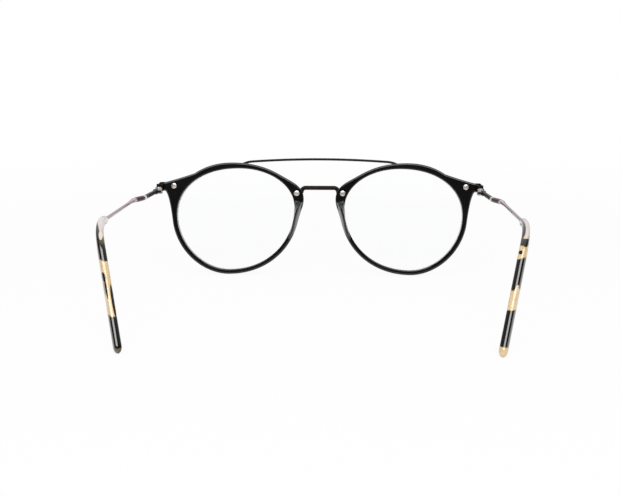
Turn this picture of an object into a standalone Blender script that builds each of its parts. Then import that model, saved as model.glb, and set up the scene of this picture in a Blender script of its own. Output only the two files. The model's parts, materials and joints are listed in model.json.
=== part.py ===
"""Double-bridge acetate eyeglasses, modelled piece by piece.

The front is drawn flat: x across the face, d through the thickness (positive towards the
wearer) and v up from the foot of the rims.  front() bends and leans that flat drawing into
place.  The temples are drawn where they stand, open, with the hinge axes vertical.
Left is the wearer's left, at +X.  The wearer's side is +Y.
"""

import math

import bmesh
import bpy
from mathutils import Matrix, Vector

MM = 0.001

# ---- Driving dimensions, in millimetres unless noted -------------------------------------
LENS_WIDTH = 49.0          # boxed lens opening
LENS_HEIGHT = 42.5
LENS_SPAN = 21.3           # gap between the two lens openings
TOP_SHIFT = -1.5           # where the outline peaks, outboard of the lens centre
BOTTOM_SHIFT = 3.1
TEMPLE_RISE = 1.4          # where the outline is widest, above the lens centre
NOSE_RISE = 5.2
LENS_THICKNESS = 1.3
LENS_BULGE = 2.2

RIM_THICKNESS = 3.6
RIM_BAND = 2.0             # face width of the rim at its slimmest
RIM_BROW_EXTRA = 0.85
NOSE_LUG = 2.6             # extra band that holds the bridge screw
OUTER_ROUND = 0.7
INNER_ROUND = 0.45
GROOVE_DEPTH = 0.7
GROOVE_HALF = 0.75

LUG_PROUD = 5.7            # endpiece lug, outboard of the lens opening
LUG_TOP_DROP = 5.85        # its corners below the top of the lens opening
LUG_BOTTOM_DROP = 9.55
LUG_CORNER = 0.9

FRONT_LEAN = 8.0           # degrees, top away from the wearer
WRAP_RADIUS = 400.0        # bend of the whole front

SCREW_HEAD_R = 1.2
SCREW_HEAD_H = 0.65
SCREW_SHANK_R = 0.6
SCREW_RECESS = 0.8
PLATE_THICKNESS = 1.2
ENDPIECE_SCREW_AT = (1.3, 7.4)  # outboard of the lens opening, and below its top
BRIDGE_SCREW_AT = (0.95, 10.3)   # inboard of the lens opening, and below its top

BRIDGE_DROP = 8.0          # bar centre below the top of the lens opening
BRIDGE_HALF_HEIGHT = 0.9
BRIDGE_HALF_DEPTH = 0.75
BRIDGE_CORNER = 1.8

BROW_RISE = 4.1            # bar centre above the top of the lens opening, at the middle
BROW_RADIUS = 390.0        # its arch
BROW_WIRE_R = 0.5
BROW_SWEEP = 5.0           # length over which it turns down to its foot
BROW_FOOT_IN = 1.6         # foot centre, inboard of the lens centre
BROW_FOOT_UP = 1.4         # and above the lens opening
BROW_FOOT_R = 0.95
BROW_FOOT_THICKNESS = 0.9
BROW_PIN_R = 0.45
BROW_PIN_DEPTH = 1.3

PAD_LENGTH = 16.5
PAD_BASE = 3.0             # width on the rim at the top
PAD_FOOT = 1.55            # and from half way down
PAD_HEIGHT = 3.0
PAD_FLARE = 0.45           # how far its base stands proud of the rim, towards the nose
PAD_SPLAY = 1.0            # how far its bearing face falls back from the nose

HINGE_PROUD = 0.75         # hinge axis, outboard of the lug's end
HINGE_BEHIND = 6.22         # and behind its back face
HINGE_DROP = 1.05          # hinge centre below the middle of the lug's end
KNUCKLE_R = 1.1
KNUCKLE_LEAF = 0.65
KNUCKLE_MIDDLE = 0.9
HINGE_SCREW_R = 0.45
HINGE_HEAD_R = 0.8
HINGE_HEAD_H = 0.4
ENDPIECE_PROUD = 2.45      # outermost face of the metal endpiece, outboard of the lug's end

BLOCK_DROP = 0.4           # corner block below the middle of the lug

HINGE_BAR_LENGTH = 19.3
HINGE_BAR_HALF = (0.7, 0.8)      # half width, half height
COLLAR_LENGTH = 21.0
COLLAR_HALF = (1.15, 1.0)
ARM_WIRE_R = 0.6
TENON_R = 0.4
TENON_LENGTH = 4.0
TEMPLE_BOW = 3.95          # how far the arm stands outboard of the hinge bar's front end
BOW_SWEEP = 12.0           # length over which it steps out, at the collar
INSET_LEAD = -0.5          # where the temple starts to come in, ahead of the bend
INSET_CORNER = 11.6        # and the length of that turn
TEMPLE_DROP_SLOPE = -0.021  # fall of the arm per millimetre; it rises slightly

TIP_START = 79.0           # behind the hinge axis
BEND_START = 83.1
BEND_RADIUS = 14.7
BEND_ANGLE = 62.3          # degrees below the arm
TIP_INSET = 10.0           # how far the tip's end comes back inboard of the bow
TIP_HALF = (1.35, 1.75)
TIP_ROUND = 2.2            # length of the tip's round end
TIP_END_SHARES = (0.35, 0.6, 0.8, 0.93, 1.0)
CORE_LENGTH = 34.0         # arm wire inside the tip

GAP = 0.3                  # between pieces that touch
RUNNING = 0.07             # round a pin that turns, or a thread
FIT = 0.1                  # round a pressed pin

# ---- Materials ---------------------------------------------------------------------------
MATERIALS = {
    "black_acetate": ((0.008, 0.008, 0.010), 0.12, 0.0, 1.0),
    "tortoise_acetate": ((0.16, 0.10, 0.045), 0.15, 0.0, 1.0),
    "black_metal": ((0.015, 0.013, 0.013), 0.25, 0.9, 1.0),
    "rose_gunmetal": ((0.42, 0.33, 0.36), 0.16, 1.0, 1.0),
    "bright_steel": ((0.75, 0.73, 0.70), 0.2, 1.0, 1.0),
    "clear_lens": ((0.95, 0.97, 0.97), 0.02, 0.0, 0.15),
}


def make_material(name):
    colour, roughness, metallic, alpha = MATERIALS[name]
    material = bpy.data.materials.new(name)
    material.use_nodes = True
    shader = material.node_tree.nodes["Principled BSDF"]
    shader.inputs["Base Color"].default_value = (*colour, 1.0)
    shader.inputs["Roughness"].default_value = roughness
    shader.inputs["Metallic"].default_value = metallic
    shader.inputs["Alpha"].default_value = alpha
    return material


# ---- Placing -----------------------------------------------------------------------------
LENS_X = (LENS_WIDTH + LENS_SPAN) / 2
LENS_V = LENS_HEIGHT / 2 + RIM_BAND
HALF_W = LENS_WIDTH / 2
HALF_H = LENS_HEIGHT / 2
BACK = RIM_THICKNESS / 2
LEAN = math.radians(FRONT_LEAN)


def front(x, d, v):
    """Bend and lean a point of the flat front drawing into place."""
    depth = d + x * x / (2 * WRAP_RADIUS)
    y = depth * math.cos(LEAN) - v * math.sin(LEAN)
    z = v * math.cos(LEAN) + depth * math.sin(LEAN)
    return Vector((x, y, z)) * MM


def world(x, y, z):
    return Vector((x, y, z)) * MM


def lens_point(outboard, up):
    """A point of the flat drawing, from the lens centre."""
    return LENS_X + outboard, LENS_V + up


# Distances from the lens centre, and what stands on them.
LUG_REACH = HALF_W + LUG_PROUD
LUG_TOP = HALF_H - LUG_TOP_DROP
LUG_BOTTOM = HALF_H - LUG_BOTTOM_DROP
ENDPIECE_SCREW = (HALF_W + ENDPIECE_SCREW_AT[0], HALF_H - ENDPIECE_SCREW_AT[1])
BRIDGE_SCREW = (-HALF_W - BRIDGE_SCREW_AT[0], HALF_H - BRIDGE_SCREW_AT[1])
LUG_X, LUG_V = lens_point(LUG_REACH, (LUG_TOP + LUG_BOTTOM) / 2)
HINGE_X = LUG_X + HINGE_PROUD
HINGE_Y = front(LUG_X, BACK, LUG_V).y / MM + HINGE_BEHIND
HINGE_Z = front(LUG_X, BACK, LUG_V).z / MM - HINGE_DROP
ENDPIECE_OUTER = LUG_X + ENDPIECE_PROUD


# ---- Mesh helpers ------------------------------------------------------------------------
def mesh_object(name, verts, faces, side=1):
    """A closed mesh; side -1 mirrors it to the wearer's right."""
    mesh = bpy.data.meshes.new(name)
    points = [(side * p[0], p[1], p[2]) for p in verts]
    if side < 0:
        faces = [tuple(reversed(face)) for face in faces]
    mesh.from_pydata(points, [], faces)
    mesh.validate()
    bm = bmesh.new()
    bm.from_mesh(mesh)
    bmesh.ops.recalc_face_normals(bm, faces=bm.faces)
    bm.to_mesh(mesh)
    bm.free()
    obj = bpy.data.objects.new(name, mesh)
    bpy.context.scene.collection.objects.link(obj)
    return obj


def loft(rings, closed=False):
    """Faces between rings of equal length; ends are capped unless the loft is closed."""
    count = len(rings[0])
    verts = [p for ring in rings for p in ring]
    faces = []
    last = len(rings) if closed else len(rings) - 1
    for i in range(last):
        a = i * count
        b = ((i + 1) % len(rings)) * count
        for j in range(count):
            k = (j + 1) % count
            faces.append((a + j, a + k, b + k, b + j))
    if not closed:
        faces.append(tuple(reversed(range(count))))
        faces.append(tuple(range(a + count, a + 2 * count)))
    return verts, faces


def combine(target, tool, operation):
    """Apply an exact boolean and drop the tool."""
    modifier = target.modifiers.new(operation, "BOOLEAN")
    modifier.operation = operation
    modifier.solver = "EXACT"
    modifier.object = tool
    bpy.context.view_layer.update()
    graph = bpy.context.evaluated_depsgraph_get()
    result = bpy.data.meshes.new_from_object(target.evaluated_get(graph))
    target.modifiers.clear()
    old = target.data
    target.data = result
    result.name = target.name
    bpy.data.meshes.remove(old)
    bpy.data.objects.remove(tool)
    return target


def prism(outline, low, high, place, side=1, name="tool"):
    """Extrude a flat outline between two depths; place maps (a, depth, b) to a point."""
    rings = [[place(a, depth, b) for a, b in outline] for depth in (low, high)]
    return mesh_object(name, *loft(rings), side=side)


def circle(centre, radius, count=20):
    steps = [2 * math.pi * i / count for i in range(count)]
    return [(centre[0] + radius * math.cos(t), centre[1] + radius * math.sin(t)) for t in steps]


def rounded_box(centre, half, radius, steps=3):
    """Outline of a rectangle with round corners."""
    points = []
    for quarter, (sx, sy) in enumerate(((1, 1), (-1, 1), (-1, -1), (1, -1))):
        cx = centre[0] + sx * (half[0] - radius)
        cy = centre[1] + sy * (half[1] - radius)
        for i in range(steps + 1):
            t = math.radians(90 * (quarter + i / steps))
            points.append((cx + radius * math.cos(t), cy + radius * math.sin(t)))
    return points


def turned(profile, place, count=20):
    """Rings of a turned piece: profile is (radius, height), place maps (a, height, b)."""
    return [[place(a, height, b) for a, b in circle((0, 0), radius, count)]
            for radius, height in profile]


def swept_ring(centre, across, up, half_width, half_height, count=12, power=2.0):
    """A superellipse section square to a path, with a flat facet on each side."""
    ring = []
    for i in range(count):
        t = 2 * math.pi * (i + 0.5) / count
        c, s = math.cos(t), math.sin(t)
        a = half_width * math.copysign(abs(c) ** (2 / power), c)
        b = half_height * math.copysign(abs(s) ** (2 / power), s)
        ring.append(centre + across * (a * MM) + up * (b * MM))
    return ring


def bell(value, centre, width):
    return math.exp(-((value - centre) / width) ** 2)


def ease(t):
    t = min(1.0, max(0.0, t))
    return t * t * (3 - 2 * t)


def mix(a, b, t):
    return a + (b - a) * t


# ---- Rim outline -------------------------------------------------------------------------
QUADRANTS = (               # centre, half width, half height, start angle, roundness
    ((TOP_SHIFT, TEMPLE_RISE), HALF_W - TOP_SHIFT, HALF_H - TEMPLE_RISE, 0, 2.18),
    ((TOP_SHIFT, NOSE_RISE), HALF_W + TOP_SHIFT, HALF_H - NOSE_RISE, 90, 2.0),
    ((BOTTOM_SHIFT, NOSE_RISE), HALF_W + BOTTOM_SHIFT, HALF_H + NOSE_RISE, 180, 2.09),
    ((BOTTOM_SHIFT, TEMPLE_RISE), HALF_W - BOTTOM_SHIFT, HALF_H + TEMPLE_RISE, 270, 1.9),
)


def opening_point(angle, offset=0.0):
    """A point of the lens opening, pushed outwards by offset along its normal."""
    angle = angle % 360
    centre, wide, high, _, power = QUADRANTS[int(angle // 90)]
    t = math.radians(angle)
    c, s = math.cos(t), math.sin(t)
    u = wide * math.copysign(abs(c) ** (2 / power), c)
    w = high * math.copysign(abs(s) ** (2 / power), s)
    nu = math.copysign(abs(u / wide) ** (power - 1), c) / wide
    nw = math.copysign(abs(w / high) ** (power - 1), s) / high
    length = math.hypot(nu, nw)
    return centre[0] + u + offset * nu / length, centre[1] + w + offset * nw / length


def band_width(angle):
    u, w = opening_point(angle)
    turn = math.degrees(math.atan2(w, u)) % 360
    brow = RIM_BROW_EXTRA * bell(turn, 65, 35)
    return RIM_BAND + brow + NOSE_LUG * bell(turn, 158, 13)


LUG_FROM, LUG_TO = -4.0, 50.0    # stretch of the opening, in degrees, that the lug covers


def lug_outline():
    """Endpiece lug: lower sweep, two round corners and upper sweep."""
    start = opening_point(LUG_FROM, band_width(LUG_FROM))
    finish = opening_point(LUG_TO, band_width(LUG_TO))
    low_end = (LUG_REACH - LUG_CORNER, LUG_BOTTOM)
    high_end = (LUG_REACH - LUG_CORNER, LUG_TOP)
    low_control = (start[0] + 1.2, LUG_BOTTOM - 2.0)
    slope = (finish[1] - high_end[1]) / (finish[0] - high_end[0])
    high_control = (mix(finish[0], high_end[0], 0.5), finish[1] - 0.56 * slope
                    * (finish[0] - high_end[0]))
    points = [bezier(start, low_control, low_end, i / 9) for i in range(9)]
    for sign, height in ((-1, LUG_BOTTOM + LUG_CORNER), (1, LUG_TOP - LUG_CORNER)):
        for i in range(4):
            t = math.radians(30 * i if sign > 0 else 30 * i - 90)
            points.append((LUG_REACH - LUG_CORNER + LUG_CORNER * math.cos(t),
                           height + LUG_CORNER * math.sin(t)))
    points += [bezier(high_end, high_control, finish, (i + 1) / 9) for i in range(9)]
    return points


def bezier(a, b, c, t):
    s = 1 - t
    return tuple(s * s * a[i] + 2 * s * t * b[i] + t * t * c[i] for i in range(2))


def rim_stations():
    """Matching points of the opening and of the outside, counter-clockwise."""
    outer = lug_outline()
    span = len(outer) - 1
    angles = [mix(LUG_FROM, LUG_TO, i / span) for i in range(span + 1)]
    rest = 80
    for i in range(1, rest):
        angle = LUG_TO + (360 + LUG_FROM - LUG_TO) * i / rest
        angles.append(angle)
        outer.append(opening_point(angle, band_width(angle)))
    return angles, outer


def outward(points, i):
    """Unit normal of a counter-clockwise outline."""
    a = points[i - 1]
    b = points[(i + 1) % len(points)]
    dx, dy = b[0] - a[0], b[1] - a[1]
    length = math.hypot(dx, dy)
    return dy / length, -dx / length


def build_rim(side, name):
    angles, outer = rim_stations()
    rings = []
    for i, angle in enumerate(angles):
        nx, ny = outward(outer, i)
        ox, oy = outer[i]

        def inner(depth, inset):
            u, w = opening_point(angle, inset)
            x, v = lens_point(u, w)
            return front(x, depth, v)

        def edge(depth, inset):
            x, v = lens_point(ox - nx * inset, oy - ny * inset)
            return front(x, depth, v)

        ring = [inner(GROOVE_HALF, 0), inner(0, GROOVE_DEPTH), inner(-GROOVE_HALF, 0)]
        ring += rounded(inner, INNER_ROUND, -1, (0, 45, 90))
        ring += rounded(edge, OUTER_ROUND, -1, (90, 45, 0))
        ring += rounded(edge, OUTER_ROUND, 1, (0, 45, 90))
        ring += rounded(inner, INNER_ROUND, 1, (90, 45, 0))
        rings.append(ring)
    rim = mesh_object(name, *loft(rings, closed=True), side=side)
    for spot in (ENDPIECE_SCREW, BRIDGE_SCREW):
        centre = lens_point(*spot)
        hole = circle(centre, SCREW_SHANK_R + GAP)
        combine(rim, prism(hole, -BACK - 1, BACK + 1, front, side), "DIFFERENCE")
        recess = circle(centre, SCREW_HEAD_R + GAP / 2)
        combine(rim, prism(recess, BACK - SCREW_RECESS, BACK + 1, front, side), "DIFFERENCE")
    combine(rim, brow_pin(side, FIT, BROW_PIN_DEPTH + 0.2), "DIFFERENCE")
    return rim


def rounded(point, radius, face, turns):
    """Quarter-round between a wall and the front (-1) or back (+1) face."""
    ring = []
    for turn in turns:
        t = math.radians(turn)
        inset = radius * (1 - math.cos(t))
        depth = face * (BACK - radius * (1 - math.sin(t)))
        ring.append(point(depth, inset))
    return ring


def build_lens(side, name):
    count = 64
    shares = (0.4, 0.68, 0.87, 1.0)
    half = LENS_THICKNESS / 2
    rings = []

    def ring(share, face, offset):
        points = []
        for i in range(count):
            u, w = opening_point(360 * i / count, offset)
            x, v = lens_point(u * share, w * share)
            points.append(front(x, face * half - LENS_BULGE * (1 - share * share), v))
        return points

    rings += [ring(share, -1, -GAP) for share in shares]
    bevel = []
    for i in range(count):
        x, v = lens_point(*opening_point(360 * i / count, GROOVE_DEPTH - GAP))
        bevel.append(front(x, 0, v))
    rings.append(bevel)
    rings += [ring(share, 1, -GAP) for share in reversed(shares)]
    return mesh_object(name, *loft(rings), side=side)


# ---- Nose pads ---------------------------------------------------------------------------
def build_pad(side, name):
    """Saddle pad on the back of the rim; its nose side is one flat bearing face."""
    top = (LENS_X - HALF_W - 3.2, LENS_V + 7.2)
    bottom_x = LENS_X - HALF_W + 1.2
    drop = math.sqrt(PAD_LENGTH ** 2 - (bottom_x - top[0]) ** 2)
    along = Vector(((bottom_x - top[0]) / PAD_LENGTH, -drop / PAD_LENGTH))
    inward = Vector((-along.y, along.x))
    rings = []
    base = BACK + GAP
    for share, height in ((0, 0.3), (0.05, 0.66), (0.13, 0.9), (0.27, 1.0), (0.42, 0.98),
                          (0.58, 0.85), (0.74, 0.62), (0.88, 0.36), (1, 0.1)):
        cx = top[0] + along.x * PAD_LENGTH * share
        cv = top[1] + along.y * PAD_LENGTH * share
        rise = PAD_HEIGHT * height
        narrow = mix(PAD_BASE, PAD_FOOT, min(1.0, 2 * share))
        ridge = PAD_SPLAY * height - PAD_FLARE
        section = ((-PAD_FLARE, 0), (ridge, rise * 0.85), (ridge + 0.22, rise * 0.97),
                   (ridge + 0.5, rise), (ridge + 0.8, rise * 0.93),
                   (max(ridge + 0.95, narrow * 0.9), rise * 0.45), (narrow, 0))
        rings.append([front(cx + inward.x * a, base + b, cv + inward.y * a)
                      for a, b in section])
    return mesh_object(name, *loft(rings), side=side)


# ---- Bridge and brow bar -----------------------------------------------------------------
def flat_path(points, depth):
    """Frames along a path of the flat drawing: position, in-plane normal, depth direction."""
    frames = []
    for i, (x, v) in enumerate(points):
        a = points[max(i - 1, 0)]
        b = points[min(i + 1, len(points) - 1)]
        here = front(x, depth, v)
        along = (front(b[0], depth, b[1]) - front(a[0], depth, a[1])).normalized()
        back = (front(x, depth + 1, v) - here).normalized()
        frames.append((here, back.cross(along).normalized(), back))
    return frames


def build_bridge(name):
    depth = -BACK - GAP - BRIDGE_HALF_DEPTH
    high = LENS_V + HALF_H - BRIDGE_DROP
    leg_x = LENS_X - HALF_W - 2.85
    half = [(leg_x * t, high) for t in (0, 0.4)]
    for i in range(7):
        t = math.radians(90 - 15 * i)
        half.append((leg_x - BRIDGE_CORNER + BRIDGE_CORNER * math.cos(t),
                     high - BRIDGE_CORNER + BRIDGE_CORNER * math.sin(t)))
    plate_x, plate_v = lens_point(*BRIDGE_SCREW)
    half.append((leg_x + 0.3, plate_v - 0.2))
    path = [(-x, v) for x, v in reversed(half[1:])] + half
    rings = [swept_ring(p, back, up, BRIDGE_HALF_DEPTH, BRIDGE_HALF_HEIGHT, 12)
             for p, up, back in flat_path(path, depth)]
    bridge = mesh_object(name, *loft(rings))
    for side in (1, -1):
        outline = [(plate_x + 2.3 * math.cos(t), plate_v + 2.05 * math.sin(t))
                   for t in [2 * math.pi * i / 28 for i in range(28)]]
        plate = prism(outline, -BACK - GAP - PLATE_THICKNESS, -BACK - GAP, front, side)
        combine(bridge, plate, "UNION")
        combine(bridge, thread_hole((plate_x, plate_v), side), "DIFFERENCE")
    return bridge


def thread_hole(centre, side):
    """Blind threaded hole in the back of a plate."""
    bottom = -BACK - GAP - PLATE_THICKNESS + 0.3
    hole = circle(centre, SCREW_SHANK_R + RUNNING, 16)
    return prism(hole, bottom, -BACK - GAP + 0.5, front, side)


BROW_DEPTH = -BACK - GAP - BROW_WIRE_R
BROW_FOOT = lens_point(-BROW_FOOT_IN, LENS_HEIGHT / 2 + BROW_FOOT_UP)


def brow_pin(side, extra, depth):
    """Pin that anchors the brow bar's foot in the rim's front, or with extra its hole."""
    outline = circle(BROW_FOOT, BROW_PIN_R + extra, 12)
    return prism(outline, BROW_DEPTH, -BACK + depth, front, side)


def build_brow_bar(name):
    high = LENS_V + HALF_H + BROW_RISE
    foot_x, foot_v = BROW_FOOT
    last = foot_x - BROW_SWEEP
    drop = last * last / (2 * BROW_RADIUS)
    half = [(last * i / 9, high - (last * i / 9) ** 2 / (2 * BROW_RADIUS)) for i in range(10)]
    bend = (mix(last, foot_x, 0.6), high - drop - 0.6 * BROW_SWEEP * last / BROW_RADIUS)
    half += [bezier(half[-1], bend, (foot_x, foot_v), i / 6) for i in range(1, 7)]
    path = [(-x, v) for x, v in reversed(half[1:])] + half
    rings = [swept_ring(p, back, up, BROW_WIRE_R, BROW_WIRE_R, 10)
             for p, up, back in flat_path(path, BROW_DEPTH)]
    bar = mesh_object(name, *loft(rings))
    for side in (1, -1):
        foot = circle(BROW_FOOT, BROW_FOOT_R, 20)
        face = -BACK - GAP
        combine(bar, prism(foot, face - BROW_FOOT_THICKNESS, face, front, side), "UNION")
        combine(bar, brow_pin(side, 0, BROW_PIN_DEPTH), "UNION")
    return bar


# ---- Screws ------------------------------------------------------------------------------
def build_front_screw(spot, side, name):
    """Screw with a low domed head and a cross recess, driven from the wearer's side."""
    x, v = lens_point(*spot)
    seat = BACK - SCREW_RECESS + GAP
    top = seat + SCREW_HEAD_H
    end = -BACK - GAP - PLATE_THICKNESS + 0.45
    profile = ((SCREW_SHANK_R - 0.12, end), (SCREW_SHANK_R, end + 0.15), (SCREW_SHANK_R, seat),
               (SCREW_HEAD_R, seat), (SCREW_HEAD_R, top - 0.2), (SCREW_HEAD_R - 0.25, top))

    def place(a, height, b):
        return front(x + a, height, v + b)

    screw = mesh_object(name, *loft(turned(profile, place)), side=side)
    for half in ((0.75, 0.13), (0.13, 0.75)):
        slot = rounded_box((x, v), half, 0.05, 1)
        combine(screw, prism(slot, top - 0.3, top + 1, front, side), "DIFFERENCE")
    return screw


# ---- Hinges ------------------------------------------------------------------------------
LEAF_TOP = KNUCKLE_MIDDLE / 2 + RUNNING + KNUCKLE_LEAF
HEAD_SEAT = HINGE_Z + LEAF_TOP + FIT


def upright(outline, low, high, side=1, name="tool"):
    """Extrude a plan outline vertically."""
    return prism(outline, low, high, lambda a, z, b: world(a, b, z), side, name)


def build_endpiece(side, name):
    """Metal corner: shield plate in front of the lug, block round its end, two knuckles."""
    screw_x, screw_v = lens_point(*ENDPIECE_SCREW)
    face = -BACK - GAP
    inner_x = screw_x - 2.4
    plate_centre = ((inner_x + ENDPIECE_OUTER) / 2, (screw_v + LUG_V) / 2)
    plate_half = ((ENDPIECE_OUTER - inner_x) / 2, 1.75)
    plate = rounded_box(plate_centre, plate_half, 1.2, 4)
    endpiece = prism(plate, face - PLATE_THICKNESS, face, front, side, name)

    block_centre = ((LUG_X + GAP + ENDPIECE_OUTER) / 2, LUG_V - BLOCK_DROP)
    block = rounded_box(block_centre, ((ENDPIECE_OUTER - LUG_X - GAP) / 2, 1.5), 0.35, 2)
    combine(endpiece, prism(block, face - 0.6, BACK + 1.6, front, side), "UNION")

    rear = HINGE_Y - KNUCKLE_R - GAP
    start = rear - 3.6
    body_low, body_high = HINGE_Z - LEAF_TOP, HINGE_Z + LEAF_TOP
    inner = HINGE_X - KNUCKLE_R
    plan = [(LUG_X + GAP, start), (ENDPIECE_OUTER, start), (ENDPIECE_OUTER, rear - 0.1),
            (inner, rear - 0.1), (inner, rear - 1.2)]
    combine(endpiece, upright(plan, body_low, body_high, side), "UNION")

    for low, high in ((LEAF_TOP - KNUCKLE_LEAF, LEAF_TOP), (-LEAF_TOP, KNUCKLE_LEAF - LEAF_TOP)):
        leaf = [(HINGE_X + KNUCKLE_R, rear - 0.6)]
        for i in range(13):
            t = math.radians(15 * i)
            leaf.append((HINGE_X + KNUCKLE_R * math.cos(t), HINGE_Y + KNUCKLE_R * math.sin(t)))
        leaf.append((HINGE_X - KNUCKLE_R, rear - 0.6))
        combine(endpiece, upright(leaf, HINGE_Z + low, HINGE_Z + high, side), "UNION")

    bore = circle((HINGE_X, HINGE_Y), HINGE_SCREW_R + RUNNING, 16)
    combine(endpiece, upright(bore, HINGE_Z - 3, HINGE_Z + 3, side), "DIFFERENCE")
    combine(endpiece, thread_hole((screw_x, screw_v), side), "DIFFERENCE")
    return endpiece


def build_hinge_screw(side, name):
    bottom = HINGE_Z - LEAF_TOP + 0.05
    top = HEAD_SEAT + HINGE_HEAD_H
    profile = ((HINGE_SCREW_R - 0.1, bottom), (HINGE_SCREW_R, bottom + 0.12),
               (HINGE_SCREW_R, HEAD_SEAT), (HINGE_HEAD_R, HEAD_SEAT),
               (HINGE_HEAD_R, top - 0.12), (HINGE_HEAD_R - 0.15, top))

    def place(a, height, b):
        return world(HINGE_X + a, HINGE_Y + b, height)

    screw = mesh_object(name, *loft(turned(profile, place, 16)), side=side)
    slot = [(HINGE_X + a, HINGE_Y + b) for a, b in ((1, -0.12), (1, 0.12), (-1, 0.12), (-1, -0.12))]
    return combine(screw, upright(slot, top - 0.22, top + 1, side), "DIFFERENCE")


# ---- Temples -----------------------------------------------------------------------------
BAR_X = HINGE_X + 0.9
BAR_START = KNUCKLE_R + GAP
COLLAR_START = HINGE_BAR_LENGTH + GAP


def arm_height(reach):
    return HINGE_Z - TEMPLE_DROP_SLOPE * reach


def ground():
    """Height of the rims' lowest point, under the round front edge."""
    x, v = lens_point(*opening_point(270, RIM_BAND))
    turns = [math.radians(5 * i) for i in range(19)]
    return min(front(x, OUTER_ROUND * (1 - math.sin(t)) - BACK,
                     v + OUTER_ROUND * (1 - math.cos(t))).z for t in turns) / MM


def end_size(share):
    """Size of the tip's round end, against its full section."""
    return max(0.28, math.sqrt(1 - share * share))


def temple_length():
    """Path length, behind the hinge axis, at which the tip's end meets the ground."""
    slope = math.atan(TEMPLE_DROP_SLOPE)
    turn = math.radians(BEND_ANGLE)
    fall = BEND_RADIUS * (math.cos(slope) - math.cos(turn))
    below = max(TIP_HALF[1] * end_size(share) * math.cos(turn)
                - TIP_ROUND * (1 - share) * math.sin(turn) for share in TIP_END_SHARES)
    left = arm_height(BEND_START) - fall - below - ground()
    return BEND_START + BEND_RADIUS * (turn - slope) + left / math.sin(turn)


def side_view(length):
    """Reach behind the hinge axis and height, a given length along the temple."""
    slope = math.atan(TEMPLE_DROP_SLOPE)
    turn = math.radians(BEND_ANGLE)
    if length <= BEND_START:
        return length, arm_height(length)
    arc = min((length - BEND_START) / BEND_RADIUS, turn - slope)
    angle = slope + arc
    reach = BEND_START + BEND_RADIUS * (math.sin(angle) - math.sin(slope))
    height = arm_height(BEND_START) - BEND_RADIUS * (math.cos(slope) - math.cos(angle))
    rest = length - BEND_START - arc * BEND_RADIUS
    return reach + rest * math.cos(angle), height - rest * math.sin(angle)


def outboard(length):
    """How far the temple stands out: nearly straight, an easy bow, then straight inwards."""
    rise = 1.1 * min(length, HINGE_BAR_LENGTH) / HINGE_BAR_LENGTH
    step = (TEMPLE_BOW - 1.1) * ease((length - HINGE_BAR_LENGTH) / BOW_SWEEP)
    start = BEND_START - INSET_LEAD
    end = temple_length()
    corner = INSET_CORNER
    run = max(0.0, length - start)
    rate = TIP_INSET / (end - start - corner / 2)
    inset = rate * (run * run / (2 * corner) if run < corner else run - corner / 2)
    return BAR_X + rise + step - inset


def temple_point(length):
    reach, height = side_view(length)
    return world(outboard(length), HINGE_Y + reach, height)


def temple_frame(length):
    """Position, outboard direction and upward direction square to the temple."""
    here = temple_point(length)
    along = (temple_point(length + 0.5) - temple_point(length - 0.5)).normalized()
    up = (Vector((0, 0, 1)) - along * along.z).normalized()
    return here, along.cross(up).normalized(), up


def temple_loft(stations, count, power, name, side):
    """Sweep sections (length, half width, half height) along the temple."""
    rings = []
    for length, wide, tall in stations:
        here, across, up = temple_frame(length)
        rings.append(swept_ring(here, across, up, wide, tall, count, power))
    return mesh_object(name, *loft(rings), side=side)


def build_hinge_bar(side, name):
    """Black front end of the temple: middle knuckle, heel that stops it open, bar, tenon."""
    wide, tall = HINGE_BAR_HALF
    stations = [(BAR_START + 0.1, 0.95, LEAF_TOP - 0.1), (BAR_START + 1.4, 0.95, LEAF_TOP - 0.1),
                (BAR_START + 3.2, wide, tall), (BAR_START + 9, wide, tall),
                (HINGE_BAR_LENGTH, wide, tall)]
    bar = temple_loft(stations, 12, 4.0, name, side)
    knuckle = [(HINGE_X + KNUCKLE_R, HINGE_Y + BAR_START + 0.6)]
    for i in range(13):
        t = math.radians(-15 * i)
        knuckle.append((HINGE_X + KNUCKLE_R * math.cos(t), HINGE_Y + KNUCKLE_R * math.sin(t)))
    knuckle.append((HINGE_X - KNUCKLE_R, HINGE_Y + BAR_START + 0.6))
    half = KNUCKLE_MIDDLE / 2
    combine(bar, upright(knuckle, HINGE_Z - half, HINGE_Z + half, side), "UNION")
    heel_in = HINGE_X + KNUCKLE_R + FIT
    heel = [(heel_in, HINGE_Y - KNUCKLE_R), (ENDPIECE_OUTER, HINGE_Y - KNUCKLE_R),
            (ENDPIECE_OUTER, HINGE_Y + BAR_START + 1.2), (heel_in, HINGE_Y + BAR_START + 1.2)]
    combine(bar, upright(heel, HINGE_Z - tall, HINGE_Z + tall, side), "UNION")
    bore = circle((HINGE_X, HINGE_Y), HINGE_SCREW_R + RUNNING, 16)
    combine(bar, upright(bore, HINGE_Z - 3, HINGE_Z + 3, side), "DIFFERENCE")
    tenon = [(length, TENON_R, TENON_R) for length in
             (HINGE_BAR_LENGTH - 1, COLLAR_START + TENON_LENGTH / 2, COLLAR_START + TENON_LENGTH)]
    return combine(bar, temple_loft(tenon, 10, 2.0, "tenon", side), "UNION")


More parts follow.
